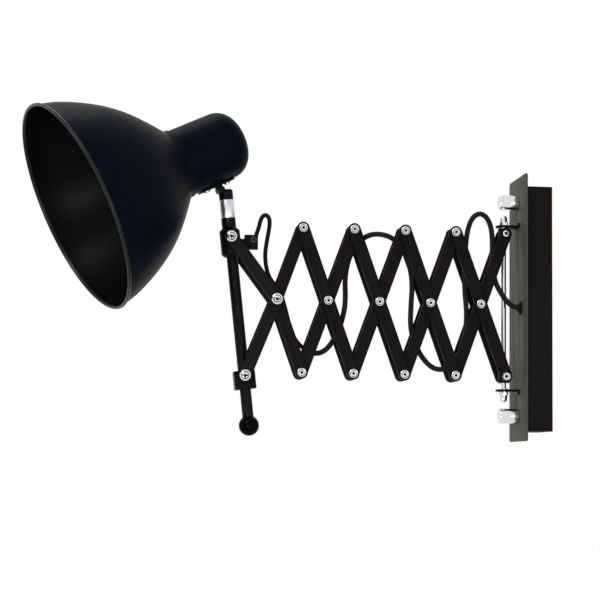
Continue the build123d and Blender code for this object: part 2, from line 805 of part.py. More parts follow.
ball_plane = tube_plane.offset(-ball_drop)
with BuildPart() as ball_knob:
    with BuildSketch(profile_plane(ball_plane)):
        with BuildLine():
            CenterArc((0, 0), ball_radius, -90, 180)
            Line((0, ball_radius), (0, -ball_radius))
        make_face()
    revolve(axis=turning_axis(ball_plane))
    with BuildSketch(tube_plane.offset(tube_bottom)):
        Circle(tube_radius + seat_clearance)
    extrude(amount=ball_socket_depth + 1, mode=Mode.SUBTRACT)
write(ball_knob.part, "ball_knob")

# cord grip: a clamp block on a short threaded neck beside the clamp collar, towards the arm
with BuildPart() as cord_grip:
    with BuildSketch(grip_plane.offset(-grip_thread)):
        Circle(grip_neck_radius)
    extrude(amount=grip_thread + grip_neck_length)
    with BuildSketch(grip_plane.offset(grip_neck_length)):
        RectangleRounded(grip_depth, grip_height, 1.0)
    extrude(amount=grip_length)
    add(lead_bore, mode=Mode.SUBTRACT)
    with BuildSketch(grip_screw_seat):
        Circle(screw_shank_radius + seat_clearance)
    extrude(amount=-grip_depth / 2, mode=Mode.SUBTRACT)
write(cord_grip.part, "cord_grip")

with BuildPart() as cord_grip_screw:
    grip_screw_reach = grip_depth / 2 - lead_radius - 0.4
    add(cross_screw(grip_screw_seat, screw_shank_radius, grip_screw_reach, grip_screw_radius, screw_head_height))
write(cord_grip_screw.part, "cord_grip_screw")

# ================================================================ shade head
# sleeve that turns on the top of the tube
with BuildPart() as swivel_sleeve:
    with BuildSketch(head_plane.offset(upper_collar_top + sleeve_gap)):
        Circle(sleeve_radius)
        Circle(tube_radius + turn_clearance, mode=Mode.SUBTRACT)
    extrude(amount=sleeve_top - fork_plug_length - upper_collar_top - sleeve_gap)
write(swivel_sleeve.part, "swivel_sleeve")

# fork that closes the sleeve's top and carries the tilt pivot at its front edge
tilt_plane = Plane(origin=tilt_pivot, x_dir=head_forward, z_dir=head_side)
fork_reach = fork_slot / 2 + fork_cheek
with BuildPart() as tilt_fork:
    with BuildSketch(head_plane.offset(sleeve_top - fork_plug_length)):
        Circle(sleeve_radius)
    extrude(amount=fork_plug_length)
    chamfer(tilt_fork.faces().sort_by(turning_axis(head_plane))[-1].edges(), length=0.8)
    with BuildSketch(tilt_plane.offset(-fork_reach)):
        Circle(fork_radius)
    extrude(amount=2 * fork_reach)
    with BuildSketch(tilt_plane.offset(-fork_slot / 2)):
        Rectangle(4 * fork_radius, 2 * fork_radius + 2)
    extrude(amount=fork_slot, mode=Mode.SUBTRACT)
    for side in (1, -1):
        with BuildSketch(tilt_plane.offset(side * fork_reach)):
            Circle(fork_radius)
        extrude(amount=side * sleeve_radius, mode=Mode.SUBTRACT)
    with BuildSketch(tilt_plane.offset(-fork_reach)):
        Circle(tilt_bolt_radius + seat_clearance)
    extrude(amount=2 * fork_reach, mode=Mode.SUBTRACT)
write(tilt_fork.part, "tilt_fork")

with BuildPart() as tilt_bolt:
    with BuildSketch(tilt_plane.offset(-fork_reach - 1.6)):
        Circle(tilt_bolt_radius)
    extrude(amount=2 * fork_reach + 2)
    with BuildSketch(tilt_plane.offset(fork_reach)):
        Circle(tilt_bolt_radius * 1.9)
    extrude(amount=1.4)
    with BuildSketch(tilt_plane.offset(-fork_reach - 1.8)):
        RegularPolygon(tilt_bolt_radius * 1.75, 6, major_radius=False)
    extrude(amount=1.8)
write(tilt_bolt.part, "tilt_bolt")

# saddle under the neck: a strip that follows the neck's curve and a tongue down to the tilt pivot
neck_axis = turning_axis(neck_plane)
saddle_low = -neck_radius - saddle_thickness
saddle_floor = Plane(
    origin=neck_origin + neck_up * saddle_low,
    x_dir=head_side,
    z_dir=neck_up,
)
tongue_width = fork_slot - 2 * tongue_clearance
tongue_plane = Plane(origin=tilt_pivot, x_dir=shade_aim, z_dir=head_side * -1)
tongue_root = 0.5
with BuildPart() as saddle_bracket:
    with BuildSketch(saddle_floor):
        with Locations((0, -(saddle_front + saddle_back) / 2)):
            Rectangle(saddle_width, saddle_front - saddle_back)
    extrude(amount=saddle_thickness + 1.2)
    with BuildSketch(tongue_plane.offset(-tongue_width / 2)):
        Circle(fork_radius)
        with Locations((0, (saddle_gap + tongue_root) / 2)):
            Rectangle(2 * fork_radius, saddle_gap + tongue_root)
    extrude(amount=tongue_width)
    with BuildSketch(neck_plane.offset(saddle_back - 1)):
        Circle(neck_radius + seat_clearance)
    extrude(amount=saddle_front - saddle_back + 2, mode=Mode.SUBTRACT)
    with BuildSketch(tongue_plane.offset(-tongue_width / 2)):
        Circle(tilt_bolt_radius + turn_clearance)
    extrude(amount=tongue_width, mode=Mode.SUBTRACT)
    with BuildSketch(saddle_floor):
        with Locations((0, -saddle_screw_back), (0, -saddle_screw_front)):
            Circle(saddle_screw_radius + seat_clearance)
    extrude(amount=saddle_thickness + 1.2, mode=Mode.SUBTRACT)
write(saddle_bracket.part, "saddle_bracket")

# neck cup that houses the lamp holder: a straight wall with a large round at its back
neck_inner = neck_radius - neck_wall
with BuildPart() as neck_cup:
    with BuildSketch(profile_plane(neck_plane)):
        with BuildLine():
            Line((neck_inner, neck_front), (neck_radius, neck_front))
            Line((neck_radius, neck_front), (neck_radius, neck_back + neck_fillet))
            RadiusArc(
                (neck_radius, neck_back + neck_fillet),
                (neck_radius - neck_fillet, neck_back),
                neck_fillet,
            )
            Line((neck_radius - neck_fillet, neck_back), (0, neck_back))
            Line((0, neck_back), (0, neck_back + neck_wall))
            Line((0, neck_back + neck_wall), (neck_radius - neck_fillet, neck_back + neck_wall))
            RadiusArc(
                (neck_radius - neck_fillet, neck_back + neck_wall),
                (neck_inner, neck_back + neck_fillet),
                -(neck_fillet - neck_wall),
            )
            Line((neck_inner, neck_back + neck_fillet), (neck_inner, neck_front))
        make_face()
    revolve(axis=neck_axis)
    with BuildSketch(saddle_floor):
        with Locations((0, -saddle_screw_back), (0, -saddle_screw_front)):
            Circle(saddle_screw_radius + seat_clearance)
    extrude(amount=saddle_thickness + neck_wall + 3, mode=Mode.SUBTRACT)
write(neck_cup.part, "neck_cup")

# bell shade: thin spun shell with a rolled bead at the rim and a short collar over the neck
collar_outer = neck_radius + seat_clearance + shade_wall
outer_points = [(collar_outer, neck_front), *((radius, neck_front + depth) for depth, radius in shade_profile)]
outer_points.append((shade_rim_radius, neck_front + shade_depth))
inner_points = [(radius - shade_wall, depth) for radius, depth in reversed(outer_points)]
with BuildPart() as shade:
    with BuildSketch(profile_plane(neck_plane)):
        with BuildLine():
            Spline(*outer_points)
            Line(outer_points[-1], inner_points[0])
            Spline(*inner_points)
            Line(inner_points[-1], (neck_radius + seat_clearance, neck_front - shade_collar_length))
            Line(
                (neck_radius + seat_clearance, neck_front - shade_collar_length),
                (collar_outer, neck_front - shade_collar_length),
            )
            Line((collar_outer, neck_front - shade_collar_length), outer_points[0])
        make_face()
        with Locations((shade_rim_radius, neck_front + shade_depth)):
            Circle(shade_bead_radius)
    revolve(axis=neck_axis)
write(shade.part, "shade")

# lamp holder: moulded shell with a brass screw ring and a centre contact
holder_back = holder_front - holder_length
with BuildPart() as lamp_holder:
    with BuildSketch(neck_plane.offset(holder_back)):
        Circle(holder_radius - holder_step)
    extrude(amount=holder_length)
    with BuildSketch(neck_plane.offset(holder_front - holder_skirt_length)):
        Circle(holder_radius)
    extrude(amount=holder_skirt_length)
    chamfer(lamp_holder.faces().sort_by(neck_axis)[-1].edges(), length=1.0)
    with BuildSketch(neck_plane.offset(holder_front)):
        Circle(socket_radius + thread_wall + seat_clearance)
    extrude(amount=-socket_depth, mode=Mode.SUBTRACT)
write(lamp_holder.part, "lamp_holder")

# brass parts of the holder: the screw ring and the spring contact at its floor
with BuildPart() as holder_contacts:
    with BuildSketch(neck_plane.offset(holder_front - 1)):
        Circle(socket_radius + thread_wall)
        Circle(socket_radius, mode=Mode.SUBTRACT)
    extrude(amount=-(socket_depth - 3))
    with BuildSketch(neck_plane.offset(holder_front - socket_depth)):
        Rectangle(contact_width, contact_length)
    extrude(amount=contact_thickness)
    with BuildSketch(neck_plane.offset(holder_front - socket_depth + contact_thickness)):
        Circle(contact_button_radius)
    extrude(amount=contact_button_height, taper=30)
write(holder_contacts.part, "holder_contacts")

# inner bracket: its foot is held by the saddle screws, its upright carries the holder on a nipple
bracket_foot_y = -neck_inner
bracket_upright = holder_back - 3.0
with BuildPart() as holder_bracket:
    with BuildSketch(neck_plane.offset(bracket_upright - holder_bracket_thickness)):
        with Locations((0, bracket_foot_y / 2)):
            Rectangle(holder_bracket_width, -bracket_foot_y)
        Circle(holder_bracket_width / 2 + 2)
        Circle(nipple_radius + seat_clearance, mode=Mode.SUBTRACT)
    extrude(amount=holder_bracket_thickness)
    with BuildSketch(neck_plane.offset(bracket_upright - holder_bracket_thickness)):
        with Locations((0, bracket_foot_y + 1.9)):
            Rectangle(holder_bracket_width, 1.6)
    extrude(amount=saddle_front - bracket_upright)
    with BuildSketch(neck_plane.offset(neck_back)):
        Circle(2 * neck_radius)
        Circle(neck_inner - seat_clearance, mode=Mode.SUBTRACT)
    extrude(amount=neck_length, mode=Mode.SUBTRACT)
    with BuildSketch(saddle_floor):
        with Locations((0, -saddle_screw_back), (0, -saddle_screw_front)):
            Circle(saddle_screw_radius + seat_clearance)
    extrude(amount=saddle_thickness + neck_wall + saddle_screw_tail + saddle_hole_overrun, mode=Mode.SUBTRACT)
write(holder_bracket.part, "holder_bracket")

with BuildPart() as holder_nipple:
    with BuildSketch(neck_plane.offset(holder_back)):
        Circle(nipple_radius)
        Circle(nipple_radius - 1.2, mode=Mode.SUBTRACT)
    extrude(amount=-7)
    with BuildSketch(neck_plane.offset(bracket_upright - holder_bracket_thickness)):
        RegularPolygon(nipple_radius + 1.6, 6, major_radius=False)
        Circle(nipple_radius - 1.2, mode=Mode.SUBTRACT)
    extrude(amount=-2)
write(holder_nipple.part, "holder_nipple")

with BuildPart() as saddle_screws:
    for along in (saddle_screw_back, saddle_screw_front):
        seat = Plane(
            origin=saddle_floor.origin + shade_aim * along,
            x_dir=head_side,
            z_dir=neck_up * -1,
        )
        reach = saddle_thickness + neck_wall + saddle_screw_tail
        add(cross_screw(seat, saddle_screw_radius, reach, saddle_screw_head, 1.6))
write(saddle_screws.part, "saddle_screws")

# ================================================================ cord
# corners of the braided cord from the wall bushing, weaving between the front and rear bars
grommet_nose_y = plate_front - grommet_flange - grommet_nose
braid_route = (
    (grommet_x, plate_back + 1.0, grommet_z),
    (grommet_x, grommet_nose_y - cord_straight_run, grommet_z),
    (9.6, -41.6, 8.4),
    (6.9, -47.1, 17.2),
    (3.4, -51.8, 28.4),
    (1.0, -53.9, 47.6),
    (0.0, -53.2, 69.0),
    (0.0, -54.6, 83.0),
    (0.0, -59.2, 92.8),
    (0.0, -66.4, 96.4),
    (0.0, -73.4, 91.9),
    (0.0, -77.8, 82.0),
    (0.0, -80.0, 68.5),
    (0.0, -81.3, 47.1),
    (0.0, -81.5, 20.1),
    (0.0, -78.7, -5.7),
    (0.0, -80.9, -28.5),
    (0.0, -86.2, -45.0),
    (0.0, -95.0, -56.5),
    (0.0, -105.5, -61.0),
    (0.0, -116.0, -57.5),
    (0.0, -127.1, -44.2),
    (0.0, -135.7, -22.6),
    (0.0, -135.1, 2.1),
    (0.0, -133.5, 26.3),
    (0.0, -138.4, 49.7),
    (0.0, -150.5, 67.8),
    (0.0, -166.6, 73.3),
    (0.0, -182.1, 70.0),
    (0.0, -195.5, 54.2),
    (0.0, -201.3, 29.8),
    (0.0, -199.8, 4.7),
    (0.0, -203.5, -15.5),
    (0.0, -210.8, -32.9),
    (0.0, -220.6, -45.3),
    (0.0, -232.4, -47.5),
    (0.0, -240.0, -42.5),
)
print("bend radii of the braided cord:")
braid_corners = [Vector(*point) for point in braid_route]
print("  " + ", ".join(f"{cord_bend(braid_corners, i):.0f}" for i in range(1, len(braid_corners) - 1)))
lead_corners = [Vector(*point) for point in lead_route]
print("bend radii of the plain lead:")
print("  " + ", ".join(f"{cord_bend(lead_corners, i):.0f}" for i in range(1, len(lead_corners) - 1)))

for cord_name, first_corner, last_corner in (
    ("cord_wall_end", 0, 5),
    ("cord_stretch_5", 6, 15),
    ("cord_stretch_4", 16, 23),
    ("cord_stretch_3", 24, 30),
    ("cord_stretch_2", 31, 36),
):
    with BuildPart() as braided_stretch:
        add(cord_stretch(braid_route, braid_radius, first_corner, last_corner))
    write(braided_stretch.part, cord_name)

with BuildPart() as cord_lead:
    add(cord_stretch(lead_route, lead_radius, 0, len(lead_route) - 1))
write(cord_lead.part, "cord_lead")
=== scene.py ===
"""Accordion wall lamp: the visible pieces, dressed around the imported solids.

Everything is in metres, in the frame of the solids: the wall is the plane Y = 0, -Y points out
into the room and +Z is up. Run it as a script; the sidebar panel lists the steps.
"""

import json
import math

import bmesh
import bpy
from bpy.props import FloatProperty, FloatVectorProperty, IntProperty, PointerProperty
from mathutils import Matrix, Vector


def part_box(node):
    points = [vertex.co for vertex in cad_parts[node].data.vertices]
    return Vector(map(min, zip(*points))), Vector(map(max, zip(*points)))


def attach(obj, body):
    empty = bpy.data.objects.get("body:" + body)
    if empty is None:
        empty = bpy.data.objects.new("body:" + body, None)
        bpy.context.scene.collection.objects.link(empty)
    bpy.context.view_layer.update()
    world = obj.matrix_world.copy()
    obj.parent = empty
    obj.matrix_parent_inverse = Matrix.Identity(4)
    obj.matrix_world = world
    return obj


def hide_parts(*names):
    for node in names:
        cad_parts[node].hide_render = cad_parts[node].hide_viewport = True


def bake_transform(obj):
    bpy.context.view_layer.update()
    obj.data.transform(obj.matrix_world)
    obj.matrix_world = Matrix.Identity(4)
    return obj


bl_info = {
    "name": "Accordion Wall Lamp",
    "version": (1, 0, 0),
    "blender": (4, 5, 0),
    "location": "View3D > Sidebar > Lamp",
    "description": "Builds the visible pieces of an accordion wall lamp with a bell shade",
    "category": "Object",
}

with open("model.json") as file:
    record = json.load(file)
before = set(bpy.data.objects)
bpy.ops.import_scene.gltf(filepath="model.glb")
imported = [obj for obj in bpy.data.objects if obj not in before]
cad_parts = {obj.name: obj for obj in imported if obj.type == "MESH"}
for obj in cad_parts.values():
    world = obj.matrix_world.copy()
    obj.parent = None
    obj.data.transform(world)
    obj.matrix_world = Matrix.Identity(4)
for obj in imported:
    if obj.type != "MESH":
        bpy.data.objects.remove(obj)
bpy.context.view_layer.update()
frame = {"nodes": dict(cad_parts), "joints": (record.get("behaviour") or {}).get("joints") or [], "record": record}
JOINTS = {joint["name"]: joint for joint in frame["joints"]}
MOUNTS = {mount["name"]: mount for mount in frame["record"]["mounts"]}
MM = 0.001
ACROSS = Vector((1, 0, 0))
UP = Vector((0, 0, 1))
# degrees: faces that meet under the first are shaded as one, and edges over the second are rounded
SMOOTH_ANGLE = 32.0
EDGE_ANGLE = 40.0


# ---------------------------------------------------------------- places taken from the solids
def pivot(joint):
    return Vector(JOINTS[joint]["pos_m"])


CELLS = 5
PITCH = (pivot("arm_extend") - pivot("top_3")) / 2
DROP = pivot("rod_slide_pivot") - pivot("arm_extend")


def top_pivot(number):
    """Upper pivot of the arm; 5 is on the rod and 1 is next to the head."""
    return pivot("arm_extend") - PITCH * (CELLS - number)


def low_pivot(number):
    return top_pivot(number) + DROP


def middle_pivot(number):
    return top_pivot(number) + DROP / 2 - PITCH / 2


ARM_END = middle_pivot(1)
COLLAR = pivot("bracket_fold")
SLIDER = pivot("tube_slide_pivot")
TUBE_UP = Vector(JOINTS["head_swivel"]["axis"]).normalized()
TILT = pivot("shade_tilt")
TILT_SIDE = Vector(JOINTS["shade_tilt"]["axis"]).normalized()
AIM = Vector(MOUNTS["lamp_socket"]["axis"]).normalized()
SOCKET = Vector(MOUNTS["lamp_socket"]["pos_m"])
NECK = SOCKET + AIM * (TILT - SOCKET).dot(AIM)


# ---------------------------------------------------------------- sizes and finishes that a user can change
def millimetres(name, description, default):
    """A size that is given here in millimetres and kept in metres."""
    return FloatProperty(name=name, description=description, default=default * MM, unit="LENGTH")


def linear_colour(name, description, default):
    """A colour in linear light."""
    return FloatVectorProperty(name=name, description=description, subtype="COLOR", default=default)


class LampSizes(bpy.types.PropertyGroup):
    """Sizes of the visible pieces."""

    bar_width: millimetres("Bar Width", "Width of an arm bar", 12)
    bar_thickness: millimetres("Bar Thickness", "Sheet of an arm bar", 2)
    bar_edge: millimetres("Bar Edge", "Round on a bar's punched edge", 0.28)
    bar_hole: millimetres("Bar Hole", "Radius of a bar's hole", 2.1)
    twin_gap: millimetres("Twin Gap", "Between the front and rear bars", 15.6)
    layer_step: millimetres("Layer Step", "From one layer of bars to the next", 2.2)
    rivet_radius: millimetres("Rivet Radius", "Radius of a rolled rivet head", 4.3)
    screw_radius: millimetres("Screw Radius", "Radius of a pan head", 3.7)
    cup_radius: millimetres("Cup Radius", "Radius of a cup washer", 5.4)
    knob_radius: millimetres("Knob Radius", "Radius of a cap nut", 7.6)
    knob_length: millimetres("Knob Length", "Length of a cap nut", 19)
    tube_radius: millimetres("Tube Radius", "Radius of the head tube", 5.5)
    sleeve_radius: millimetres("Sleeve Radius", "Radius of the turning sleeve", 7)
    ball_radius: millimetres("Ball Radius", "Radius of the end ball", 9.9)
    neck_radius: millimetres("Neck Radius", "Radius of the neck cup", 33.4)
    sheet: millimetres("Shade Sheet", "Thickness of the spun sheet", 1.2)
    bead_radius: millimetres("Rim Bead", "Radius of the shade's rolled rim", 1.6)
    braid_radius: millimetres("Braid Radius", "Radius of the braided cord", 2.6)
    lead_radius: millimetres("Lead Radius", "Radius of the plain lead", 2.1)
    braid_carriers: IntProperty(name="Braid Carriers", description="Yarns around the braided cord", default=12, min=4)


class LampFinishes(bpy.types.PropertyGroup):
    """Colours of the finishes."""

    shade_black: linear_colour("Shade Black", "Satin enamel outside the shade", (0.0024, 0.0043, 0.0072))
    inner_black: linear_colour("Inner Black", "Matt enamel inside the shade", (0.0009, 0.0010, 0.0013))
    bar_black: linear_colour("Bar Black", "Enamel of the arm bars", (0.0062, 0.0053, 0.0046))
    link_grey: linear_colour("Link Grey", "Enamel of the head links", (0.0072, 0.0070, 0.0070))
    box_black: linear_colour("Box Black", "Enamel of the wall box", (0.0062, 0.0053, 0.0046))
    bright: linear_colour("Bright Plating", "Chrome of nuts and rod", (0.72, 0.73, 0.74))
    nickel: linear_colour("Nickel", "Rivets and screws", (0.62, 0.61, 0.6))
    braid: linear_colour("Braid", "Yarn of the cord", (0.0062, 0.0060, 0.0062))


# ---------------------------------------------------------------- node trees as expressions
class Signal:
    """An output socket that can stand in a Python expression."""

    def __init__(self, graph, socket):
        self.graph = graph
        self.socket = socket

    def beside(self, name):
        """Another output of the same node."""
        return Signal(self.graph, self.socket.node.outputs[name])

    def maths(self, operation, *others, clamp=False):
        values = dict(enumerate((self, *others)))
        return self.graph.add("ShaderNodeMath", {"operation": operation, "use_clamp": clamp}, values)

    def __add__(self, other):
        return self.maths("ADD", other)

    def __radd__(self, other):
        return self.maths("ADD", other)

    def __sub__(self, other):
        return self.maths("SUBTRACT", other)

    def __rsub__(self, other):
        return self.graph.add("ShaderNodeMath", {"operation": "SUBTRACT"}, {0: other, 1: self})

    def __mul__(self, other):
        return self.maths("MULTIPLY", other)

    def __rmul__(self, other):
        return self.maths("MULTIPLY", other)

    def __truediv__(self, other):
        return self.maths("DIVIDE", other)

    def __abs__(self):
        return self.maths("ABSOLUTE")

    def fraction(self):
        return self.maths("FRACT")

    def above(self, low, high):
        """0 under low, 1 over high, and a straight rise between them."""
        return ((self - low) / (high - low)).maths("ADD", 0.0, clamp=True)


class Graph:
    """A node tree of any kind, with one method that adds any node."""

    def __init__(self, tree):
        self.tree = tree

    def add(self, kind, settings=None, sockets=None, out=0):
        node = self.tree.nodes.new(kind)
        for name, value in (settings or {}).items():
            setattr(node, name, value)
        for name, value in (sockets or {}).items():
            several = value if isinstance(value, list) else [value]
            for one in several:
                if isinstance(one, Signal):
                    self.tree.links.new(one.socket, node.inputs[name])
                else:
                    node.inputs[name].default_value = one
        return Signal(self, node.outputs[out])

    def blend(self, factor, first, second):
        """Mix of two colours."""
        return self.add("ShaderNodeMix", {"data_type": "RGBA"}, {0: factor, 6: first, 7: second}, out=2)


def rgba(colour, gain=1.0):
    return (*(channel * gain for channel in colour[:3]), 1.0)


class Finish(Graph):
    """One procedural surface finish."""

    def __init__(self, name):
        self.material = bpy.data.materials.new(name)
        self.material.use_nodes = True
        super().__init__(self.material.node_tree)
        self.tree.nodes.clear()
        self.place = self.add("ShaderNodeTexCoord", out="Object")

    def spread(self, scale, detail=3.0, roughness=0.5, stretch=None):
        """Soft noise with features of about 1 / scale metres, from 0 to 1."""
        place = self.place
        if stretch:
            place = self.add("ShaderNodeMapping", sockets={"Vector": place, "Scale": stretch})
        noise = {"Vector": place, "Scale": scale, "Detail": detail, "Roughness": roughness}
        return self.add("ShaderNodeTexNoise", sockets=noise)

    def close(self, colour, roughness, height, depth, strength, **uniform):
        """Ends the tree in a principled surface; uniform holds the sockets that don't vary."""
        sockets = {"Base Color": colour, "Roughness": roughness}
        for name, value in uniform.items():
            sockets[name.replace("_", " ").title().replace("Ior", "IOR")] = value
        relief = {"Height": height, "Distance": depth, "Strength": strength}
        sockets["Normal"] = self.add("ShaderNodeBump", sockets=relief)
        surface = self.add("ShaderNodeBsdfPrincipled", sockets=sockets)
        self.add_output(surface)
        return self.material

    def add_output(self, surface):
        output = self.tree.nodes.new("ShaderNodeOutputMaterial")
        self.tree.links.new(surface.socket, output.inputs["Surface"])


DUST = (0.09, 0.088, 0.085, 1)
# length of cord in which a yarn of the braid goes on by one yarn's place
YARN_STEP = 2.6 * MM


def enamel(name, colour, roughness, specular, peel=900.0, mottle=45.0, specks=0.5):
    """Baked enamel: uneven gloss, a fine orange peel, faint scuffs and a little dust."""
    paint = Finish(name)
    mottling = paint.spread(mottle, 4.0)
    skin = paint.spread(peel, 2.0)
    scuffs = paint.spread(260.0, 5.0, 0.65, stretch=(1.0, 0.25, 0.35)).above(0.56, 0.74)
    dust = paint.spread(2600.0, 1.0).above(0.74, 0.8) * specks
    shade = paint.blend(mottling, rgba(colour, 0.82), rgba(colour, 1.2))
    worn = paint.blend(scuffs * 0.35, shade, rgba(colour, 2.2))
    dusted = paint.blend(dust * 0.25, worn, DUST)
    gloss = roughness + (mottling - 0.5) * 0.08 + scuffs * 0.09 + dust * 0.1
    height = skin * 0.7 + mottling * 0.3 + scuffs * 0.2
    return paint.close(dusted, gloss, height, depth=0.08 * MM, strength=0.22, specular_ior_level=specular)


def plated(name, colour, roughness, smudge=0.06, pitting=0.35):
    """Bright plating: slight smudges, fine turning marks and pits."""
    paint = Finish(name)
    film = paint.spread(140.0, 4.0, 0.6)
    grain = paint.spread(5200.0, 2.0, stretch=(1.0, 0.2, 1.0))
    pits = paint.spread(3100.0, 1.0).above(0.72, 0.78)
    tone = paint.blend(film, rgba(colour, 0.88), rgba(colour, 1.06))
    tone = paint.blend(pits * pitting, tone, rgba(colour, 0.45))
    gloss = roughness + film * smudge + grain * 0.03
    return paint.close(tone, gloss, grain * 0.5 + pits, depth=0.03 * MM, strength=0.25, metallic=1.0)


def moulded(name, colour, roughness, texture=1500.0, specular=0.4):
    """Moulded plastic or rubber: a fine spark-eroded texture and small tone changes."""
    paint = Finish(name)
    cloud = paint.spread(70.0, 3.0)
    spark = paint.spread(texture, 3.0, 0.7)
    tone = paint.blend(cloud, rgba(colour, 0.85), rgba(colour, 1.15))
    gloss = roughness + (spark - 0.5) * 0.1
    return paint.close(tone, gloss, spark, depth=0.06 * MM, strength=0.25, specular_ior_level=specular)


def woven(name, colour, carriers):
    """Braided sleeve: two sets of yarns that cross, from the cord's own UV map in metres and turns."""
    paint = Finish(name)
    uv = paint.add("ShaderNodeUVMap", {"uv_map": "cord"})
    split = paint.add("ShaderNodeSeparateXYZ", sockets={"Vector": uv})
    along = split.beside("X") * (1 / YARN_STEP)
    turns = split.beside("Y") * float(carriers)
    right = along + turns
    left = along - turns
    right_yarn = 1 - abs(right.fraction() * 2 - 1)
    left_yarn = 1 - abs(left.fraction() * 2 - 1)
    over = (right.maths("FLOOR") + left.maths("FLOOR")).maths("MODULO", 2.0).maths("ABSOLUTE").above(0.4, 0.6)
    crest = right_yarn * over + left_yarn * (1 - over)
    fuzz = paint.spread(2400.0, 3.0, 0.7)
    # painted shade and highlight: the braid's colour darkens from each yarn's crest to its edges and the gaps between
    # yarns
    tone = paint.blend(crest, rgba(colour, 0.35), rgba(colour, 1.7))
    tone = paint.blend(fuzz.above(0.55, 0.8) * 0.3, tone, rgba(colour, 3.0))
    uniform = {"specular_ior_level": 0.25, "sheen_weight": 0.03, "sheen_roughness": 0.5}
    return paint.close(tone, 0.82 + fuzz * 0.1, crest + fuzz * 0.35, depth=0.4 * MM, strength=0.7, **uniform)


def make_finishes():
    """All the finishes, by the words that the pieces ask for."""
    colours = bpy.context.scene.lamp_finishes
    sizes = bpy.context.scene.lamp_sizes
    return {
        "shade": enamel("shade enamel", colours.shade_black, 0.38, 0.02, specks=0.12),
        "inner": enamel("inner enamel", colours.inner_black, 0.4, 0.045, specks=0.1),
        "rim": enamel("rim enamel", (0.0075, 0.0075, 0.008), 0.3, 0.16, specks=0.1),
        "bar": enamel("bar enamel", colours.bar_black, 0.46, 0.05),
        "link": enamel("link enamel", colours.link_grey, 0.44, 0.06),
        "box": enamel("box enamel", colours.box_black, 0.5, 0.06, peel=700.0),
        # painted sheen: the plate's black enamel is given a grey well above the box's black
        "plate": enamel("plate enamel", (0.05, 0.05, 0.039), 0.66, 0.4, mottle=22.0, peel=700.0, specks=0.3),
        "collar": enamel("collar enamel", (0.0026, 0.0026, 0.0029), 0.36, 0.05),
        "tube": enamel("tube enamel", (0.0032, 0.0032, 0.0036), 0.26, 0.09, specks=0.2),
        "bright": plated("bright plating", colours.bright, 0.05, smudge=0.05),
        "nickel": plated("nickel plating", colours.nickel, 0.2, pitting=0.5),
        "zinc": plated("zinc plating", (0.46, 0.47, 0.48), 0.36, smudge=0.14),
        # painted shade and painted dark reflection: near-black enamel on the hollows, grooves and shoulders of rivets
        # and screws
        "grime": enamel("grime in recesses", (0.01, 0.0095, 0.009), 0.6, 0.1),
        "dark": plated("blackened steel", (0.05, 0.052, 0.055), 0.3, smudge=0.12),
        "foil": plated("sleeve band", (0.62, 0.64, 0.67), 0.3, smudge=0.1),
        "brass": plated("brass", (0.72, 0.53, 0.24), 0.26),
        "ball": moulded("ball lacquer", (0.0010, 0.0010, 0.0012), 0.16, texture=500.0, specular=0.03),
        "rubber": moulded("bushing rubber", (0.004, 0.004, 0.004), 0.6, specular=0.08),
        "lead": moulded("lead jacket", (0.0032, 0.0032, 0.0036), 0.46, texture=900.0, specular=0.07),
        "phenolic": moulded("lamp holder moulding", (0.012, 0.011, 0.01), 0.45),
        "terminal": moulded("terminal moulding", (0.62, 0.61, 0.56), 0.5),
        "braid": woven("cord braid", colours.braid, sizes.braid_carriers),
    }


FINISHES = {}


def finish(name):
    if not FINISHES:
        FINISHES.update(make_finishes())
    return FINISHES[name]


# ---------------------------------------------------------------- mesh helpers
def place_object(name, mesh):
    thing = bpy.data.objects.new(name, mesh)
    bpy.context.scene.collection.objects.link(thing)
    return thing


def smooth(mesh, angle=SMOOTH_ANGLE, largest=None):
    """Smooth shading up to an angle; faces over the largest area stay flat."""
    mesh.polygons.foreach_set("use_smooth", [largest is None or face.area < largest for face in mesh.polygons])
    mesh.set_sharp_from_angle(angle=math.radians(angle))
    mesh.update()


def solved(carrier):
    """Plain mesh of what an object's curve or modifiers come to; the object itself goes."""
    bpy.context.view_layer.update()
    evaluated = carrier.evaluated_get(bpy.context.evaluated_depsgraph_get())
    mesh = bpy.data.meshes.new_from_object(evaluated)
    bpy.data.objects.remove(carrier)
    return mesh


def ended(bm, name, finish_names):
    """Mesh of a bmesh, which goes, with its finishes in their slots."""
    mesh = bpy.data.meshes.new(name)
    bm.to_mesh(mesh)
    bm.free()
    for finish_name in finish_names:
        mesh.materials.append(finish(finish_name))
    return mesh


def frame_on(origin, axis, side=None):
    """Matrix whose Z is the axis and whose X is as near as it can be to side."""
    z = Vector(axis).normalized()
    x = Vector(side) if side is not None else (ACROSS if abs(z.x) < 0.9 else UP)
    x = (x - z * x.dot(z)).normalized()
    y = z.cross(x)
    matrix = Matrix((x, y, z)).transposed().to_4x4()
    matrix.translation = origin
    return matrix


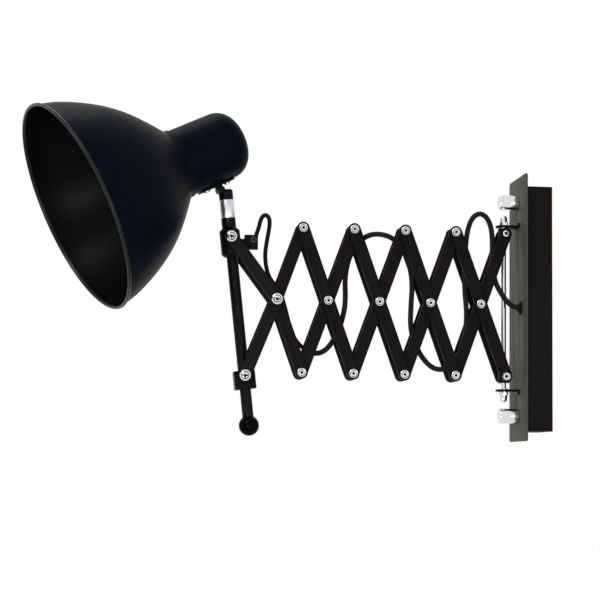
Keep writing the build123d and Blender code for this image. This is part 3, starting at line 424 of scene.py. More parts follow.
class Shape:
    """A mesh in the making: several closed shells, each with its own finish."""

    def __init__(self):
        self.mesh = bmesh.new()
        self.finishes = []

    def slot(self, name):
        if name not in self.finishes:
            self.finishes.append(name)
        return self.finishes.index(name)

    def shell(self, rings, matrix, name, closed_path=False, ring_names=None):
        """Joins rings of points, each a list of the same length, or of one point for a pole."""
        slot = self.slot(name)
        made = [[self.mesh.verts.new(matrix @ Vector(point)) for point in ring] for ring in rings]
        pairs = list(zip(made, made[1:]))
        if closed_path:
            pairs.append((made[-1], made[0]))
        faces = []
        for index, (low, high) in enumerate(pairs):
            steps = max(len(low), len(high))
            use = self.slot(ring_names[index]) if ring_names and ring_names[index] else slot
            for step in range(steps):
                after = (step + 1) % steps
                places = ((low, step), (low, after), (high, after), (high, step))
                corners = list(dict.fromkeys(ring[place % len(ring)] for ring, place in places))
                if len(corners) > 2:
                    face = self.mesh.faces.new(corners)
                    face.material_index = use
                    faces.append(face)
        bmesh.ops.recalc_face_normals(self.mesh, faces=faces)
        return faces

    def turned(self, profile, matrix, name, steps=48, closed=False, ring_names=None):
        """Shape of revolution; profile holds (along, radius) pairs."""
        rings = []
        for along, radius in profile:
            if radius < 1e-9:
                rings.append([(0, 0, along)])
            else:
                rings.append([(x, y, along) for x, y in around(radius, steps)])
        return self.shell(rings, matrix, name, closed, ring_names)

    def bosses(self, centre, start, reach):
        """Two round bosses across a collar, from start to reach on each side of its centre."""
        radius = 5.6 * MM
        edge = 0.3 * MM
        boss = [(start, 0), (start, radius), (reach - edge, radius), (reach, radius - edge), (reach, 0)]
        for side in (1, -1):
            self.turned(boss, frame_on(centre, ACROSS * side), "collar", steps=40)

    def finish(self, name, angle=SMOOTH_ANGLE):
        """Ends the making: a piece with its finishes, and the faces that carry painted shade marked on it."""
        mesh = ended(self.mesh, name, self.finishes)
        if "grime" in self.finishes:
            shade_mask = mesh.attributes.new("grime", "BOOLEAN", "FACE")
            slot = self.finishes.index("grime")
            shade_mask.data.foreach_set("value", [polygon.material_index == slot for polygon in mesh.polygons])
        smooth(mesh, angle)
        return place_object(name, mesh)


def seat(thing, body, nodes=()):
    """Lets a finished piece ride on its body and stand for its nodes."""
    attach(thing, body)
    if nodes:
        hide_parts(*nodes)
    return thing


def turned_piece(
    name, body, node, profile, matrix, finish_name, steps, closed=True, ring_names=None, angle=SMOOTH_ANGLE
):
    """A piece that is one shape of revolution, on its body and in its node's place."""
    shape = Shape()
    shape.turned(profile, matrix, finish_name, steps, closed, ring_names)
    return seat(shape.finish(name, angle), body, [node])


def both_ends(ending, low, high):
    """Profile from low to high with the same ending at both: it holds (distance inward, radius) pairs."""
    profile = [(low + inward, radius) for inward, radius in ending]
    return profile + [(high - inward, radius) for inward, radius in reversed(ending)]


def around(radius, steps):
    """Points of a circle, as (x, y), from its X axis on."""
    turns = [2 * math.pi * step / steps for step in range(steps)]
    return [(radius * math.cos(turn), radius * math.sin(turn)) for turn in turns]


def rims(count, marked, name="grime"):
    """Finish of each ring of faces: the name for the marked ones, by default the painted shade, and the shell's own
    for the rest.
    """
    return [name if ring in marked else None for ring in range(count)]


def arc(centre, radius, start, end, steps):
    """Points of an arc in a profile, as (along, radius), from start to end degrees."""
    turns = [math.radians(start + (end - start) * step / steps) for step in range(steps + 1)]
    return [(centre[0] + radius * math.sin(t), centre[1] + radius * math.cos(t)) for t in turns]


def eased(points, samples):
    """Smooth curve through (along, radius) points: a natural cubic spline over the along values."""
    xs = [p[0] for p in points]
    ys = [p[1] for p in points]
    n = len(xs)
    h = [xs[i + 1] - xs[i] for i in range(n - 1)]
    a = [0.0] * n
    b = [1.0] * n
    c = [0.0] * n
    d = [0.0] * n
    for i in range(1, n - 1):
        a[i] = h[i - 1]
        b[i] = 2 * (h[i - 1] + h[i])
        c[i] = h[i]
        d[i] = 6 * ((ys[i + 1] - ys[i]) / h[i] - (ys[i] - ys[i - 1]) / h[i - 1])
    for i in range(1, n):
        w = a[i] / b[i - 1]
        b[i] -= w * c[i - 1]
        d[i] -= w * d[i - 1]
    m = [0.0] * n
    m[-1] = d[-1] / b[-1]
    for i in range(n - 2, -1, -1):
        m[i] = (d[i] - c[i] * m[i + 1]) / b[i]
    out = []
    for step in range(samples + 1):
        x = xs[0] + (xs[-1] - xs[0]) * step / samples
        i = min(max(j for j in range(n - 1) if xs[j] <= x + 1e-12), n - 2)
        t = x - xs[i]
        u = xs[i + 1] - x
        y = (m[i] * u**3 + m[i + 1] * t**3) / (6 * h[i])
        y += (ys[i] / h[i] - m[i] * h[i] / 6) * u + (ys[i + 1] / h[i] - m[i + 1] * h[i] / 6) * t
        out.append((x, y))
    return out


# ---------------------------------------------------------------- geometry node trees
class Recipe(Graph):
    """A geometry node tree with named inputs."""

    def __init__(self, name, inputs):
        super().__init__(bpy.data.node_groups.new(name, "GeometryNodeTree"))
        self.tree.is_modifier = True
        self.tree.interface.new_socket("Geometry", in_out="OUTPUT", socket_type="NodeSocketGeometry")
        for label, kind in inputs.items():
            self.tree.interface.new_socket(label, in_out="INPUT", socket_type="NodeSocket" + kind)
        self.source = self.tree.nodes.new("NodeGroupInput")

    def given(self, label):
        return Signal(self, self.source.outputs[label])

    def deliver(self, geometry, shade_mask=None):
        """Realizes the instances, sets the finish, and the painted shade where it is asked for, and ends the tree."""
        real = self.add("GeometryNodeRealizeInstances", sockets={"Geometry": geometry})
        dressed = self.add("GeometryNodeSetMaterial", sockets={"Geometry": real, "Material": self.given("Finish")})
        if shade_mask:
            selected = {"Geometry": dressed, "Selection": shade_mask, "Material": self.given("Grime")}
            dressed = self.add("GeometryNodeSetMaterial", sockets=selected)
        output = self.tree.nodes.new("NodeGroupOutput")
        self.tree.links.new(dressed.socket, output.inputs["Geometry"])


def grow(recipe, name, values, source=None, edge=0.0, largest=None):
    """Runs a recipe on its own object and hands back a plain mesh."""
    carrier = place_object(name, source or bpy.data.meshes.new(name))
    modifier = carrier.modifiers.new("Recipe", "NODES")
    modifier.node_group = recipe.tree
    sockets = {item.name: item.identifier for item in recipe.tree.interface.items_tree if item.in_out == "INPUT"}
    for label, value in values.items():
        modifier[sockets[label]] = value
    if edge:
        rounded = carrier.modifiers.new("Edge", "BEVEL")
        rounded.width = edge
        rounded.segments = 2
        rounded.limit_method = "ANGLE"
        rounded.angle_limit = math.radians(EDGE_ANGLE)
    mesh = solved(carrier)
    if not mesh.polygons:
        raise RuntimeError(f"{name} came out empty")
    mesh.name = name
    smooth(mesh, largest=largest)
    return mesh


def flat_bar_recipe():
    """Flat bar with round ends and punched holes, as twins on both sides of the arm."""
    inputs = dict.fromkeys(("Length", "Width", "Thickness", "Hole", "Inner Face", "Middle Hole"), "Float")
    recipe = Recipe("Flat Bar Twins", inputs | {"Finish": "Material"})
    length = recipe.given("Length")
    width = recipe.given("Width")
    thickness = recipe.given("Thickness")
    size = {"Width": length + width, "Height": width}
    rectangle = recipe.add("GeometryNodeCurvePrimitiveQuadrilateral", {"mode": "RECTANGLE"}, size)
    # just under half the width, so that no two points of the round ends meet
    rounding = {"Curve": rectangle, "Count": 14, "Radius": width * 0.4999, "Limit Radius": True}
    outline = recipe.add("GeometryNodeFilletCurve", {"mode": "POLY"}, rounding)
    holes = [outline]
    for share, hole in ((-0.5, "Hole"), (0.5, "Hole"), (0.0, "Middle Hole")):
        opening = {"Resolution": 20, "Radius": recipe.given(hole)}
        circle = recipe.add("GeometryNodeCurvePrimitiveCircle", {"mode": "RADIUS"}, opening)
        place = recipe.add("ShaderNodeCombineXYZ", sockets={"X": length * share})
        holes.append(recipe.add("GeometryNodeTransform", sockets={"Geometry": circle, "Translation": place}))
    curves = recipe.add("GeometryNodeJoinGeometry", sockets={"Geometry": holes[::-1]})
    face = recipe.add("GeometryNodeFillCurve", {"mode": "NGONS"}, {"Curve": curves})
    depth = {"Mesh": face, "Offset Scale": thickness, "Individual": False}
    walls = recipe.add("GeometryNodeExtrudeMesh", {"mode": "FACES"}, depth)
    back = recipe.add("GeometryNodeFlipFaces", sockets={"Mesh": face})
    closed = recipe.add("GeometryNodeJoinGeometry", sockets={"Geometry": [walls, back]})
    solid = recipe.add("GeometryNodeMergeByDistance", sockets={"Geometry": closed, "Distance": 1e-6})
    twins = []
    for height in (recipe.given("Inner Face"), (recipe.given("Inner Face") + thickness) * -1.0):
        place = recipe.add("ShaderNodeCombineXYZ", sockets={"Z": height})
        twins.append(recipe.add("GeometryNodeTransform", sockets={"Geometry": solid, "Translation": place}))
    recipe.deliver(recipe.add("GeometryNodeJoinGeometry", sockets={"Geometry": twins}))
    return recipe


def fastener_recipe():
    """Copies of one fastener on points, along their normals, each turned by its own amount."""
    inputs = {"Points": "Geometry", "Fastener": "Object", "Size": "Float", "Loosest Turn": "Float", "Seed": "Int"}
    recipe = Recipe("Fasteners", inputs | {"Finish": "Material", "Grime": "Material"})
    source = {"Object": recipe.given("Fastener"), "As Instance": True}
    part = recipe.add("GeometryNodeObjectInfo", sockets=source, out="Geometry")
    normal = recipe.add("GeometryNodeInputNamedAttribute", {"data_type": "FLOAT_VECTOR"}, {"Name": "outward"})
    facing = recipe.add("FunctionNodeAlignRotationToVector", {"axis": "Z"}, {"Vector": normal})
    chance = {2: 0.0, 3: recipe.given("Loosest Turn"), "Seed": recipe.given("Seed")}
    turn = recipe.add("FunctionNodeRandomValue", {"data_type": "FLOAT"}, chance, out=1)
    spin = recipe.add("ShaderNodeCombineXYZ", sockets={"Z": turn})
    turning = {"Rotation": facing, "Rotate By": spin}
    turned = recipe.add("FunctionNodeRotateRotation", {"rotation_space": "LOCAL"}, turning)
    scale = recipe.add("ShaderNodeCombineXYZ", sockets=dict.fromkeys("XYZ", recipe.given("Size")))
    placing = {"Points": recipe.given("Points"), "Instance": part, "Rotation": turned, "Scale": scale}
    copies = recipe.add("GeometryNodeInstanceOnPoints", sockets=placing)
    # faces marked for painted shade keep it on every copy
    shade_mask = recipe.add("GeometryNodeInputNamedAttribute", {"data_type": "BOOLEAN"}, {"Name": "grime"})
    recipe.deliver(copies, shade_mask)
    return recipe


def scatter(recipe, name, prototype, spots, finish_name, seed=1, turn=0.0, size=1.0):
    """Fasteners at (point, outward direction) spots, as one plain mesh."""
    points = bpy.data.meshes.new(name + " points")
    points.from_pydata([spot[0] for spot in spots], [], [])
    outward = points.attributes.new("outward", "FLOAT_VECTOR", "POINT")
    outward.data.foreach_set("vector", [value for spot in spots for value in spot[1]])
    values = {"Fastener": prototype, "Size": size, "Loosest Turn": turn, "Seed": seed}
    return grow(recipe, name, values | {"Finish": finish(finish_name), "Grime": finish("grime")}, source=points)


# ---------------------------------------------------------------- fastener prototypes
# air between a piece and the one that it turns in or lies on, and under one that is fixed on another
CLEAR = 0.1 * MM
FIT = 0.05 * MM
# radius of a rivet's or bolt's shank, height of a screw's head, and points around a head
SHANK = 1.95 * MM
HEAD_HEIGHT = 1.8 * MM
HEAD_STEPS = 28


def rolled_rivet(sizes, reach):
    """Through rivet: a rolled head on both sides, each with a hollow, and the spacer between the bars."""
    r = sizes.rivet_radius
    shape = Shape()
    # rise over the bar and radius of each ring of the head, in millimetres
    inner = ((-0.3, 0.0), (-0.3, 1.15), (0.75, 1.15), (1.15, 1.45))
    inner += ((1.28, 2.1), (1.12, 2.75), (0.72, 3.05), (0.66, 3.35))
    outer = ((0.8, -0.5), (0.55, -0.1), (0.25, 0.0), (0.0, -0.05))
    head = [(reach + rise * MM, radius * MM) for rise, radius in inner]
    head += [(reach + rise * MM, r + radius * MM) for rise, radius in outer]
    head += [(reach, SHANK), (0.0, SHANK)]
    profile = head + [(-along, radius) for along, radius in reversed(head[:-1])]
    last = len(profile) - 2
    # painted shade: the hollow's floor and wall and a ring on the head's outer slope
    grooves = (0, 1, 5, 6)
    marked = {*grooves, *(last - groove for groove in grooves)}
    shape.turned(profile, Matrix.Identity(4), "nickel", steps=HEAD_STEPS, ring_names=rims(last + 1, marked))
    spacer(shape, Matrix.Identity(4), sizes.twin_gap / 2 - CLEAR)
    return shape.finish("rivet prototype")


def spacer(shape, matrix, gap):
    """Tube between the bars, from -gap to gap."""
    bore, radius = 2.1 * MM, 3 * MM
    edge = 0.25 * MM
    ending = [(0, bore), (0, radius - edge), (edge, radius)]
    shape.turned(both_ends(ending, -gap, gap), matrix, "nickel", steps=24, closed=True)


def collar_rivet(shape, node):
    """Rolled rivet heads on both sides of the lower rod collar, each with its shank."""
    low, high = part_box(node)
    centre = (low + high) / 2
    outer = (high.z - low.z) / 2
    tip = (high.x - low.x) / 2
    height = 1.2 * MM
    # depth under the tip and radius of each ring, as shares of the head's height and radius
    head = ((1.0, 0.0), (1.0, 0.36), (0.45, 0.36), (0.1, 0.46), (0.0, 0.62), (0.12, 0.78))
    head += ((0.42, 0.85), (0.42, 0.9), (0.3, 0.95), (0.5, 1.0), (1.0, 0.98))
    shank_end = min(abs(v.co.x) for v in frame["nodes"][node].data.vertices)
    profile = [(tip - back * height, share * outer) for back, share in head]
    profile += [(tip - height, SHANK), (shank_end, SHANK), (shank_end, 0)]
    # painted shade: the head's hollow and a ring on its outer slope
    names = rims(len(profile) - 1, (0, 1, 5, 6))
    for side in (ACROSS, -ACROSS):
        shape.turned(profile, frame_on(centre, side), "nickel", steps=HEAD_STEPS, ring_names=names)


def cross_recess(shape, radius, floor, top, name, width):
    """Closes a round opening of a head at the height top with a tapered cross recess.

    The width is half that of an arm of the cross, as a share of the opening's radius.
    """
    bm = shape.mesh
    arm = radius * 0.93
    half = radius * width
    taper = 0.7
    point = 0.15 * MM
    outline = []
    for quarter in range(4):
        turn = Matrix.Rotation(math.pi / 2 * quarter, 3, "Z")
        for x, y in ((half, half), (arm, half), (arm, -half)):
            outline.append(turn @ Vector((x, y, 0)))
    ordered = sorted(outline, key=lambda p: math.atan2(p.y, p.x))
    rim = [bm.verts.new((x, y, top)) for x, y in around(radius, HEAD_STEPS)]
    mouth = [bm.verts.new((p.x, p.y, top)) for p in ordered]
    deep = [bm.verts.new((p.x * taper, p.y * taper, floor)) for p in ordered]
    edges = []
    for loop in (rim, mouth):
        for first, second in zip(loop, loop[1:] + loop[:1]):
            edges.append(bm.edges.new((first, second)))
    made = bmesh.ops.triangle_fill(bm, use_beauty=True, use_dissolve=False, edges=edges)
    faces = [item for item in made["geom"] if isinstance(item, bmesh.types.BMFace)]
    inside = set(mouth)
    over_cross = [face for face in faces if all(vert in inside for vert in face.verts)]
    bmesh.ops.delete(bm, geom=over_cross, context="FACES_ONLY")
    for face in faces:
        if face.is_valid:
            face.material_index = shape.slot(name)
    centre = bm.verts.new((0, 0, floor - point))
    turns = list(zip(mouth, mouth[1:] + mouth[:1], deep[1:] + deep[:1], deep))
    cross = [bm.faces.new(corners) for corners in turns]
    cross += [bm.faces.new((low, low_next, centre)) for _, _, low_next, low in turns]
    # painted shade in the cross recess
    for face in cross:
        face.material_index = shape.slot("grime")


def pan_screw(sizes, cup):
    """Pan-head screw with a cross recess, and with a cup washer under it where cup is true; Z = 0 is the seat."""
    r = sizes.screw_radius
    shape = Shape()
    seat_height = 0.0
    if cup:
        seat_height = 0.8 * MM
        bore = 2.05 * MM
        # height and radius of each ring, the radius counted back from the washer's own
        slope = ((0.0, 0.35), (0.18, 0.0), (0.42, 0.05), (1.15, 1.15), (1.3, 1.5), (1.1, 1.75))
        ring = [(rise * MM, sizes.cup_radius - back * MM) for rise, back in slope]
        ring = [(0.0, bore), *ring, (seat_height, bore)]
        # painted shade on the washer's inner lip beside the head
        names = rims(len(ring), (5, 6))
        shape.turned(ring, Matrix.Identity(4), "nickel", steps=40, closed=True, ring_names=names)
    inner = r * 0.72
    shank = 1.9 * MM
    shank_end = seat_height - 1.5 * MM
    top = seat_height + HEAD_HEIGHT
    recess = 1.1 * MM
    dome = [(shank_end, 0.0), (shank_end, shank), (seat_height, shank)]
    dome += [(seat_height, r * 0.93), (seat_height + 0.25 * MM, r)]
    for rise, share in ((0.5, 0.97), (0.78, 0.88), (0.94, 0.8)):
        dome.append((seat_height + HEAD_HEIGHT * rise, r * share))
    dome.append((top, inner))
    # painted dark reflection and shade on the head's side and shoulder
    names = rims(len(dome) - 1, (3, 4, 5, 6) if cup else (3, 4, 5))
    shape.turned(dome, Matrix.Identity(4), "nickel", steps=HEAD_STEPS, ring_names=names)
    cross_recess(shape, inner, top - recess, top, "nickel", 0.36 if cup else 0.27)
    bmesh.ops.remove_doubles(shape.mesh, verts=shape.mesh.verts, dist=1e-6)
    bmesh.ops.recalc_face_normals(shape.mesh, faces=shape.mesh.faces)
    return shape.finish("screw prototype", angle=38.0)


# ---------------------------------------------------------------- steps
# radius of the middle hole of a bar that has none: too small to be seen
PINHOLE = 0.05 * MM


def bar_piece(recipe, name, start, end, inner_face, body, node, finish_name="bar", middle_hole=PINHOLE):
    """A pair of bars from one pivot to another, as far from the arm's middle plane as inner_face says."""
    sizes = bpy.context.scene.lamp_sizes
    along = end - start
    values = {
        "Length": along.length,
        "Width": sizes.bar_width,
        "Thickness": sizes.bar_thickness,
        "Hole": sizes.bar_hole,
        "Inner Face": inner_face,
        "Middle Hole": middle_hole,
        "Finish": finish(finish_name),
    }
    mesh = grow(recipe, name, values, edge=sizes.bar_edge, largest=4 * MM * MM)
    side = ACROSS.cross(along.normalized())
    matrix = Matrix((along.normalized(), side, ACROSS)).transposed().to_4x4()
    matrix.translation = (start + end) / 2
    mesh.transform(matrix)
    seat(place_object(name, mesh), body, [node])


class LAMP_OT_arm_bars(bpy.types.Operator):
    """Build the crossed bars of the arm and the links of the head bracket"""

    bl_idname = "lamp.arm_bars"
    bl_label = "Arm Bars"

    def execute(self, context):
        sizes = context.scene.lamp_sizes
        recipe = flat_bar_recipe()
        inner = sizes.twin_gap / 2
        outer, lower, upper = (inner + sizes.layer_step * layer for layer in (1, 2, 3))
        hole = sizes.bar_hole
        for number in range(2, CELLS + 1):
            for way, start, end, face in (
                ("rising", low_pivot(number - 1), top_pivot(number), inner),
                ("falling", top_pivot(number - 1), low_pivot(number), outer),
            ):
                name, node = f"arm_{way}_{number}", f"{way}_bars_{number}"
                bar_piece(recipe, name, start, end, face, f"{way}_{number}", node, middle_hole=hole)
        for way, end, face in (("rising", top_pivot(1), inner), ("falling", low_pivot(1), outer)):
            bar_piece(recipe, f"arm_{way}_half", middle_pivot(1), end, face, f"{way}_half", f"{way}_half_bars")
        bar_piece(recipe, "head_link_lower", ARM_END, SLIDER, lower, "lower_link_pair", "lower_links", "link")
        bar_piece(recipe, "head_link_upper", ARM_END, COLLAR, upper, "upper_link_pair", "upper_links", "link")
        return {"FINISHED"}


class LAMP_OT_fasteners(bpy.types.Operator):
    """Build the rivets, the cross-head screws and their cup washers"""

    bl_idname = "lamp.fasteners"
    bl_label = "Rivets and Screws"

    def execute(self, context):
        sizes = context.scene.lamp_sizes
        recipe = fastener_recipe()
        half = sizes.twin_gap / 2
        rivet = rolled_rivet(sizes, half + 2 * sizes.layer_step - CLEAR)
        for number in range(1, CELLS + 1):
            spots = [(top_pivot(number), ACROSS)] if number < CELLS else []
            body = "rising_half"
            if number > 1:
                spots += [(middle_pivot(number), ACROSS), (low_pivot(number - 1), ACROSS)]
                body = f"rising_{number}"
            mesh = scatter(recipe, f"rivets_{number}", rivet, spots, "nickel", seed=number)
            seat(place_object(f"rivets_{number}", mesh), body, [f"arm_rivets_{number}"])
        plain = pan_screw(sizes, cup=False)
        cupped = pan_screw(sizes, cup=True)
        outside = half + sizes.bar_thickness + CLEAR
        collar_face, lower_face, link_face = (outside + layers * sizes.layer_step for layers in (0, 2, 3))
        groups = (
            ("rod_collar_screws", plain, pivot("arm_extend"), collar_face, "rod_swivel", ["upper_rod_collar_screws"]),
            ("arm_end_bolt", cupped, ARM_END, link_face, "upper_link_pair", []),
            ("upper_collar_heads", cupped, COLLAR, link_face, "tube", ["upper_collar_screws"]),
            ("lower_collar_heads", cupped, SLIDER, lower_face, "tube_slider", ["lower_collar_screws"]),
        )
        for seed, (name, part, centre, face, body, nodes) in enumerate(groups, 11):
            spots = [(centre + ACROSS * face, ACROSS), (centre - ACROSS * face, -ACROSS)]
            plating = "bright" if part is cupped else "nickel"
            mesh = scatter(recipe, name, part, spots, plating, seed=seed, turn=math.pi / 2)
            seat(place_object(name, mesh), body, nodes)
        # shank and spacer of the arm's end bolt
        shape = Shape()
        core = both_ends([(0, 0), (0, SHANK)], 0, 2 * link_face)
        shape.turned(core, frame_on(ARM_END - ACROSS * link_face, ACROSS), "nickel", steps=24)
        spacer(shape, frame_on(ARM_END, ACROSS), half - CLEAR)
        seat(shape.finish("arm_end_core"), "upper_link_pair", ["head_pivot_bolt"])
        # screw of the cord grip
        grip_low, grip_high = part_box("cord_grip_screw")
        middle = (grip_low + grip_high) / 2
        spot = Vector((grip_high.x - HEAD_HEIGHT, middle.y, middle.z))
        name = "cord_grip_head"
        mesh = scatter(recipe, name, plain, [(spot, ACROSS)], "dark", seed=31, turn=math.pi / 2, size=0.92)
        seat(place_object(name, mesh), "tube", ["cord_grip_screw"])
        for prototype in (rivet, plain, cupped):
            bpy.data.objects.remove(prototype)
        return {"FINISHED"}


def hex_rings(levels, apothem):
    """Rings of a hexagon that a cone limits: each level is (along, largest radius)."""
    rings = []
    steps = 72
    for along, limit in levels:
        ring = []
        for step in range(steps):
            angle = 2 * math.pi * step / steps
            off = (angle + math.pi / 6) % (math.pi / 3) - math.pi / 6
            radius = min(apothem / math.cos(off), limit)
            ring.append((radius * math.cos(angle), radius * math.sin(angle), along))
        rings.append(ring)
    return rings


def in_mm(points):
    return [tuple(value * MM for value in point) for point in points]


class LAMP_OT_wall_unit(bpy.types.Operator):
    """Build the cover box, the front plate, the cap nuts, the rod with its lugs and the bushing"""

    bl_idname = "lamp.wall_unit"
    bl_label = "Wall Unit"

    def execute(self, context):
        sizes = context.scene.lamp_sizes
        refined("cover_box", "wall_box", "wall_unit", "box", 0.5 * MM)
        refined("cover_plate", "front_plate", "wall_unit", "plate", 0.35 * MM)
        refined("rod_lug_upper", "upper_rod_lug", "wall_unit", "collar", 0.3 * MM)
        refined("rod_lug_lower", "lower_rod_lug", "wall_unit", "collar", 0.3 * MM)
        # cap nuts with a chamfer and a dished end
        r = sizes.knob_radius
        front = sizes.knob_length
        profile = [(0, 0), (0, r - 0.5 * MM), (0.5 * MM, r)]
        nose = ((1.0, 0.0), (0.35, 0.25), (0.0, 0.9), (0.0, 1.6), (0.25, 2.2))
        profile += [(front - back * MM, r - inward * MM) for back, inward in nose] + [(front - 0.25 * MM, 0)]
        shape = Shape()
        low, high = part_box("cap_nuts")
        for z in (low.z + r, high.z - r):
            shape.turned(profile, frame_on((0, high.y, z), (0, -1, 0)), "bright", steps=64)
        seat(shape.finish("cap_nut_pair"), "wall_unit", ["cap_nuts"])
        # domed nuts on both ends of the rod
        shape = Shape()
        rod = pivot("arm_extend")
        low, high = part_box("acorn_nuts")
        lug_top = rod_face("upper_rod_lug", top=True)
        lug_bottom = rod_face("lower_rod_lug", top=False)
        hexagon = in_mm(((0, 4.1), (0.45, 4.7), (3.3, 4.7), (3.8, 4.0)))
        across_flats = 8 * MM
        dome_radius = 3.6 * MM
        for z, direction, tip in ((lug_top, 1, high.z), (lug_bottom, -1, low.z)):
            matrix = frame_on((rod.x, rod.y, z), (0, 0, direction))
            rings = [[(0, 0, 0)]] + hex_rings(hexagon, across_flats / 2) + [[(0, 0, hexagon[-1][0])]]
            shape.shell(rings, matrix, "bright")
            rise = abs(tip - z)
            dome = in_mm(((3.7, 0), (3.7, 3.6))) + [(rise - dome_radius, dome_radius)]
            dome += arc((rise - dome_radius, 0), dome_radius, 10, 90, 8)
            dome[-1] = (rise, 0)
            shape.turned(dome, matrix, "bright", steps=40)
        seat(shape.finish("domed_nuts"), "wall_unit", ["acorn_nuts"])
        # rod and the washers on it
        low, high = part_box("pivot_rod")
        radius = (high.x - low.x) / 2
        edge = 0.4 * MM
        profile = both_ends([(0, 0), (0, radius - edge), (edge, radius)], 0, high.z - low.z)
        matrix = frame_on((rod.x, rod.y, low.z), UP)
        turned_piece("rod", "wall_unit", "pivot_rod", profile, matrix, "bright", 40, closed=False)
        shape = Shape()
        low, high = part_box("rod_washers")
        outer = (high.x - low.x) / 2
        bore = radius + CLEAR
        edge = 0.2 * MM
        sheet = 1 * MM
        ring = both_ends([(0, bore), (0, outer - edge), (edge, outer)], 0, sheet)
        for z in (low.z, high.z - sheet):
            shape.turned(ring, frame_on((rod.x, rod.y, z), UP), "bright", steps=40, closed=True)
        seat(shape.finish("washers"), "wall_unit", ["rod_washers"])
        # moulded bushing of the cord: a sleeve in the plate, a flange and a tapered nose
        low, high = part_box("cord_grommet")
        centre = (low + high) / 2
        flange = (high.x - low.x) / 2
        depth = high.y - low.y
        inner = sizes.braid_radius + 0.06 * MM
        sleeve = 4.6 * MM
        ring = [(0, inner), (0, sleeve - 0.2 * MM), (0.3 * MM, sleeve), (depth - 3.6 * MM, sleeve)]
        rounded = ((3.6, 0.4), (3.2, 0.0), (2.4, 0.0), (2.0, 0.5))
        ring += [(depth - back * MM, flange - inward * MM) for back, inward in rounded]
        nose = ((1.9, 4.9), (0.8, 4.0), (0.1, 3.5))
        ring += [(depth - back * MM, width * MM) for back, width in nose]
        ring += [(depth, inner + 0.3 * MM), (depth - 0.3 * MM, inner)]
        matrix = frame_on((centre.x, high.y, centre.z), (0, -1, 0))
        turned_piece("cord_bushing", "wall_unit", "cord_grommet", ring, matrix, "rubber", 48)
        # collars on the rod
        refined("rod_collar_upper", "upper_rod_collar", "rod_swivel", "collar", 0.3 * MM)
        refined("rod_collar_lower", "lower_rod_collar", "rod_slider", "collar", 0.3 * MM)
        shape = Shape()
        collar_rivet(shape, "lower_rod_collar_rivets")
        seat(shape.finish("rod_collar_rivet_heads"), "rod_slider", ["lower_rod_collar_rivets"])
        return {"FINISHED"}


def rod_face(node, top):
    """Height of a lug's face around the rod."""
    rod = pivot("arm_extend")
    near = [v.co.z for v in frame["nodes"][node].data.vertices if (v.co.xy - rod.xy).length < 3 * MM]
    return max(near) if top else min(near)


def refined(name, node, body, finish_name, radius, segments=2):
    """A carried-over solid with its doubles merged, its flat faces cleaned and its edges rounded."""
    bm = bmesh.new()
    bm.from_mesh(frame["nodes"][node].data)
    bmesh.ops.remove_doubles(bm, verts=bm.verts, dist=2e-6)
    bmesh.ops.dissolve_limit(bm, angle_limit=math.radians(0.5), verts=bm.verts, edges=bm.edges)
    limit = math.radians(EDGE_ANGLE)
    sharp = [edge for edge in bm.edges if len(edge.link_faces) == 2 and edge.calc_face_angle(0.0) > limit]
    rounding = {"offset": radius, "segments": segments, "profile": 0.5, "affect": "EDGES", "clamp_overlap": True}
    bmesh.ops.bevel(bm, geom=sharp, **rounding)
    mesh = ended(bm, name, [finish_name])
    for polygon in mesh.polygons:
        polygon.material_index = 0
    smooth(mesh, largest=40 * MM * MM)
    return seat(place_object(name, mesh), body, [node])


class LAMP_OT_head_tube(bpy.types.Operator):
    """Build the head tube, its two collars, the cord grip and the ball"""

    bl_idname = "lamp.head_tube"
    bl_label = "Head Tube"

    def execute(self, context):
        sizes = context.scene.lamp_sizes
        tube = frame_on(COLLAR, TUBE_UP, ACROSS)
        outer = sizes.tube_radius
        bore = outer - 1.2 * MM
        touch = outer + FIT
        loose = outer + 0.35 * MM
        ball_at = -183.3 * MM
        r = sizes.ball_radius
        # tube, from inside the ball to inside the sleeve
        edge = 0.3 * MM
        in_ball = 9 * MM
        low, high = ball_at + r - in_ball, 40 * MM
        wall = [(low, bore), (low, outer), (high - edge, outer), (high, outer - edge), (high, bore)]
        turned_piece("tube_shaft", "tube", "head_tube", wall, tube, "tube", 48)
        # ball with a small collar where the tube goes in
        ball = arc((ball_at, 0), r, -90, 56, 22)
        ball[0] = (ball_at - r, 0)
        rise = ball[-1][0]
        ball += [(rise + 0.5 * MM, loose), (rise + 0.6 * MM, touch)]
        ball += [(rise - 3 * MM, touch), (rise - 3 * MM, 0)]
        turned_piece("end_ball", "tube", "ball_knob", ball, tube, "ball", 64, closed=False)
        # turned upper collar with bevelled shoulders and two side bosses
        shape = Shape()
        body = 10 * MM
        bevel = 2.4 * MM
        soft = 0.35 * MM
        shoulder = [(0, touch), (0, body - bevel - soft), (soft * 0.4, body - bevel)]
        shoulder += [(bevel, body - soft * 0.3), (bevel + soft, body)]
        bottom, top = -18.4 * MM, 9.6 * MM
        shape.turned(both_ends(shoulder, bottom, top), tube, "collar", steps=64, closed=True)
        half = sizes.twin_gap / 2
        shape.bosses(COLLAR, 6 * MM, half + 3 * sizes.layer_step - CLEAR)
        seat(shape.finish("upper_collar_body"), "tube", ["upper_collar"])
        # square sliding collar
        shape = Shape()
        width = 20.5 * MM
        bottom, top = -13.1 * MM, 4.9 * MM
        square_collar(shape, frame_on(SLIDER, TUBE_UP, ACROSS), width / 2, bottom, top, loose)
        shape.bosses(SLIDER, 9 * MM, half + 2 * sizes.layer_step - CLEAR)
        seat(shape.finish("lower_collar_body"), "tube_slider", ["lower_collar"])
        refined("cord_grip_block", "cord_grip", "tube", "collar", 0.45 * MM, segments=3)
        return {"FINISHED"}


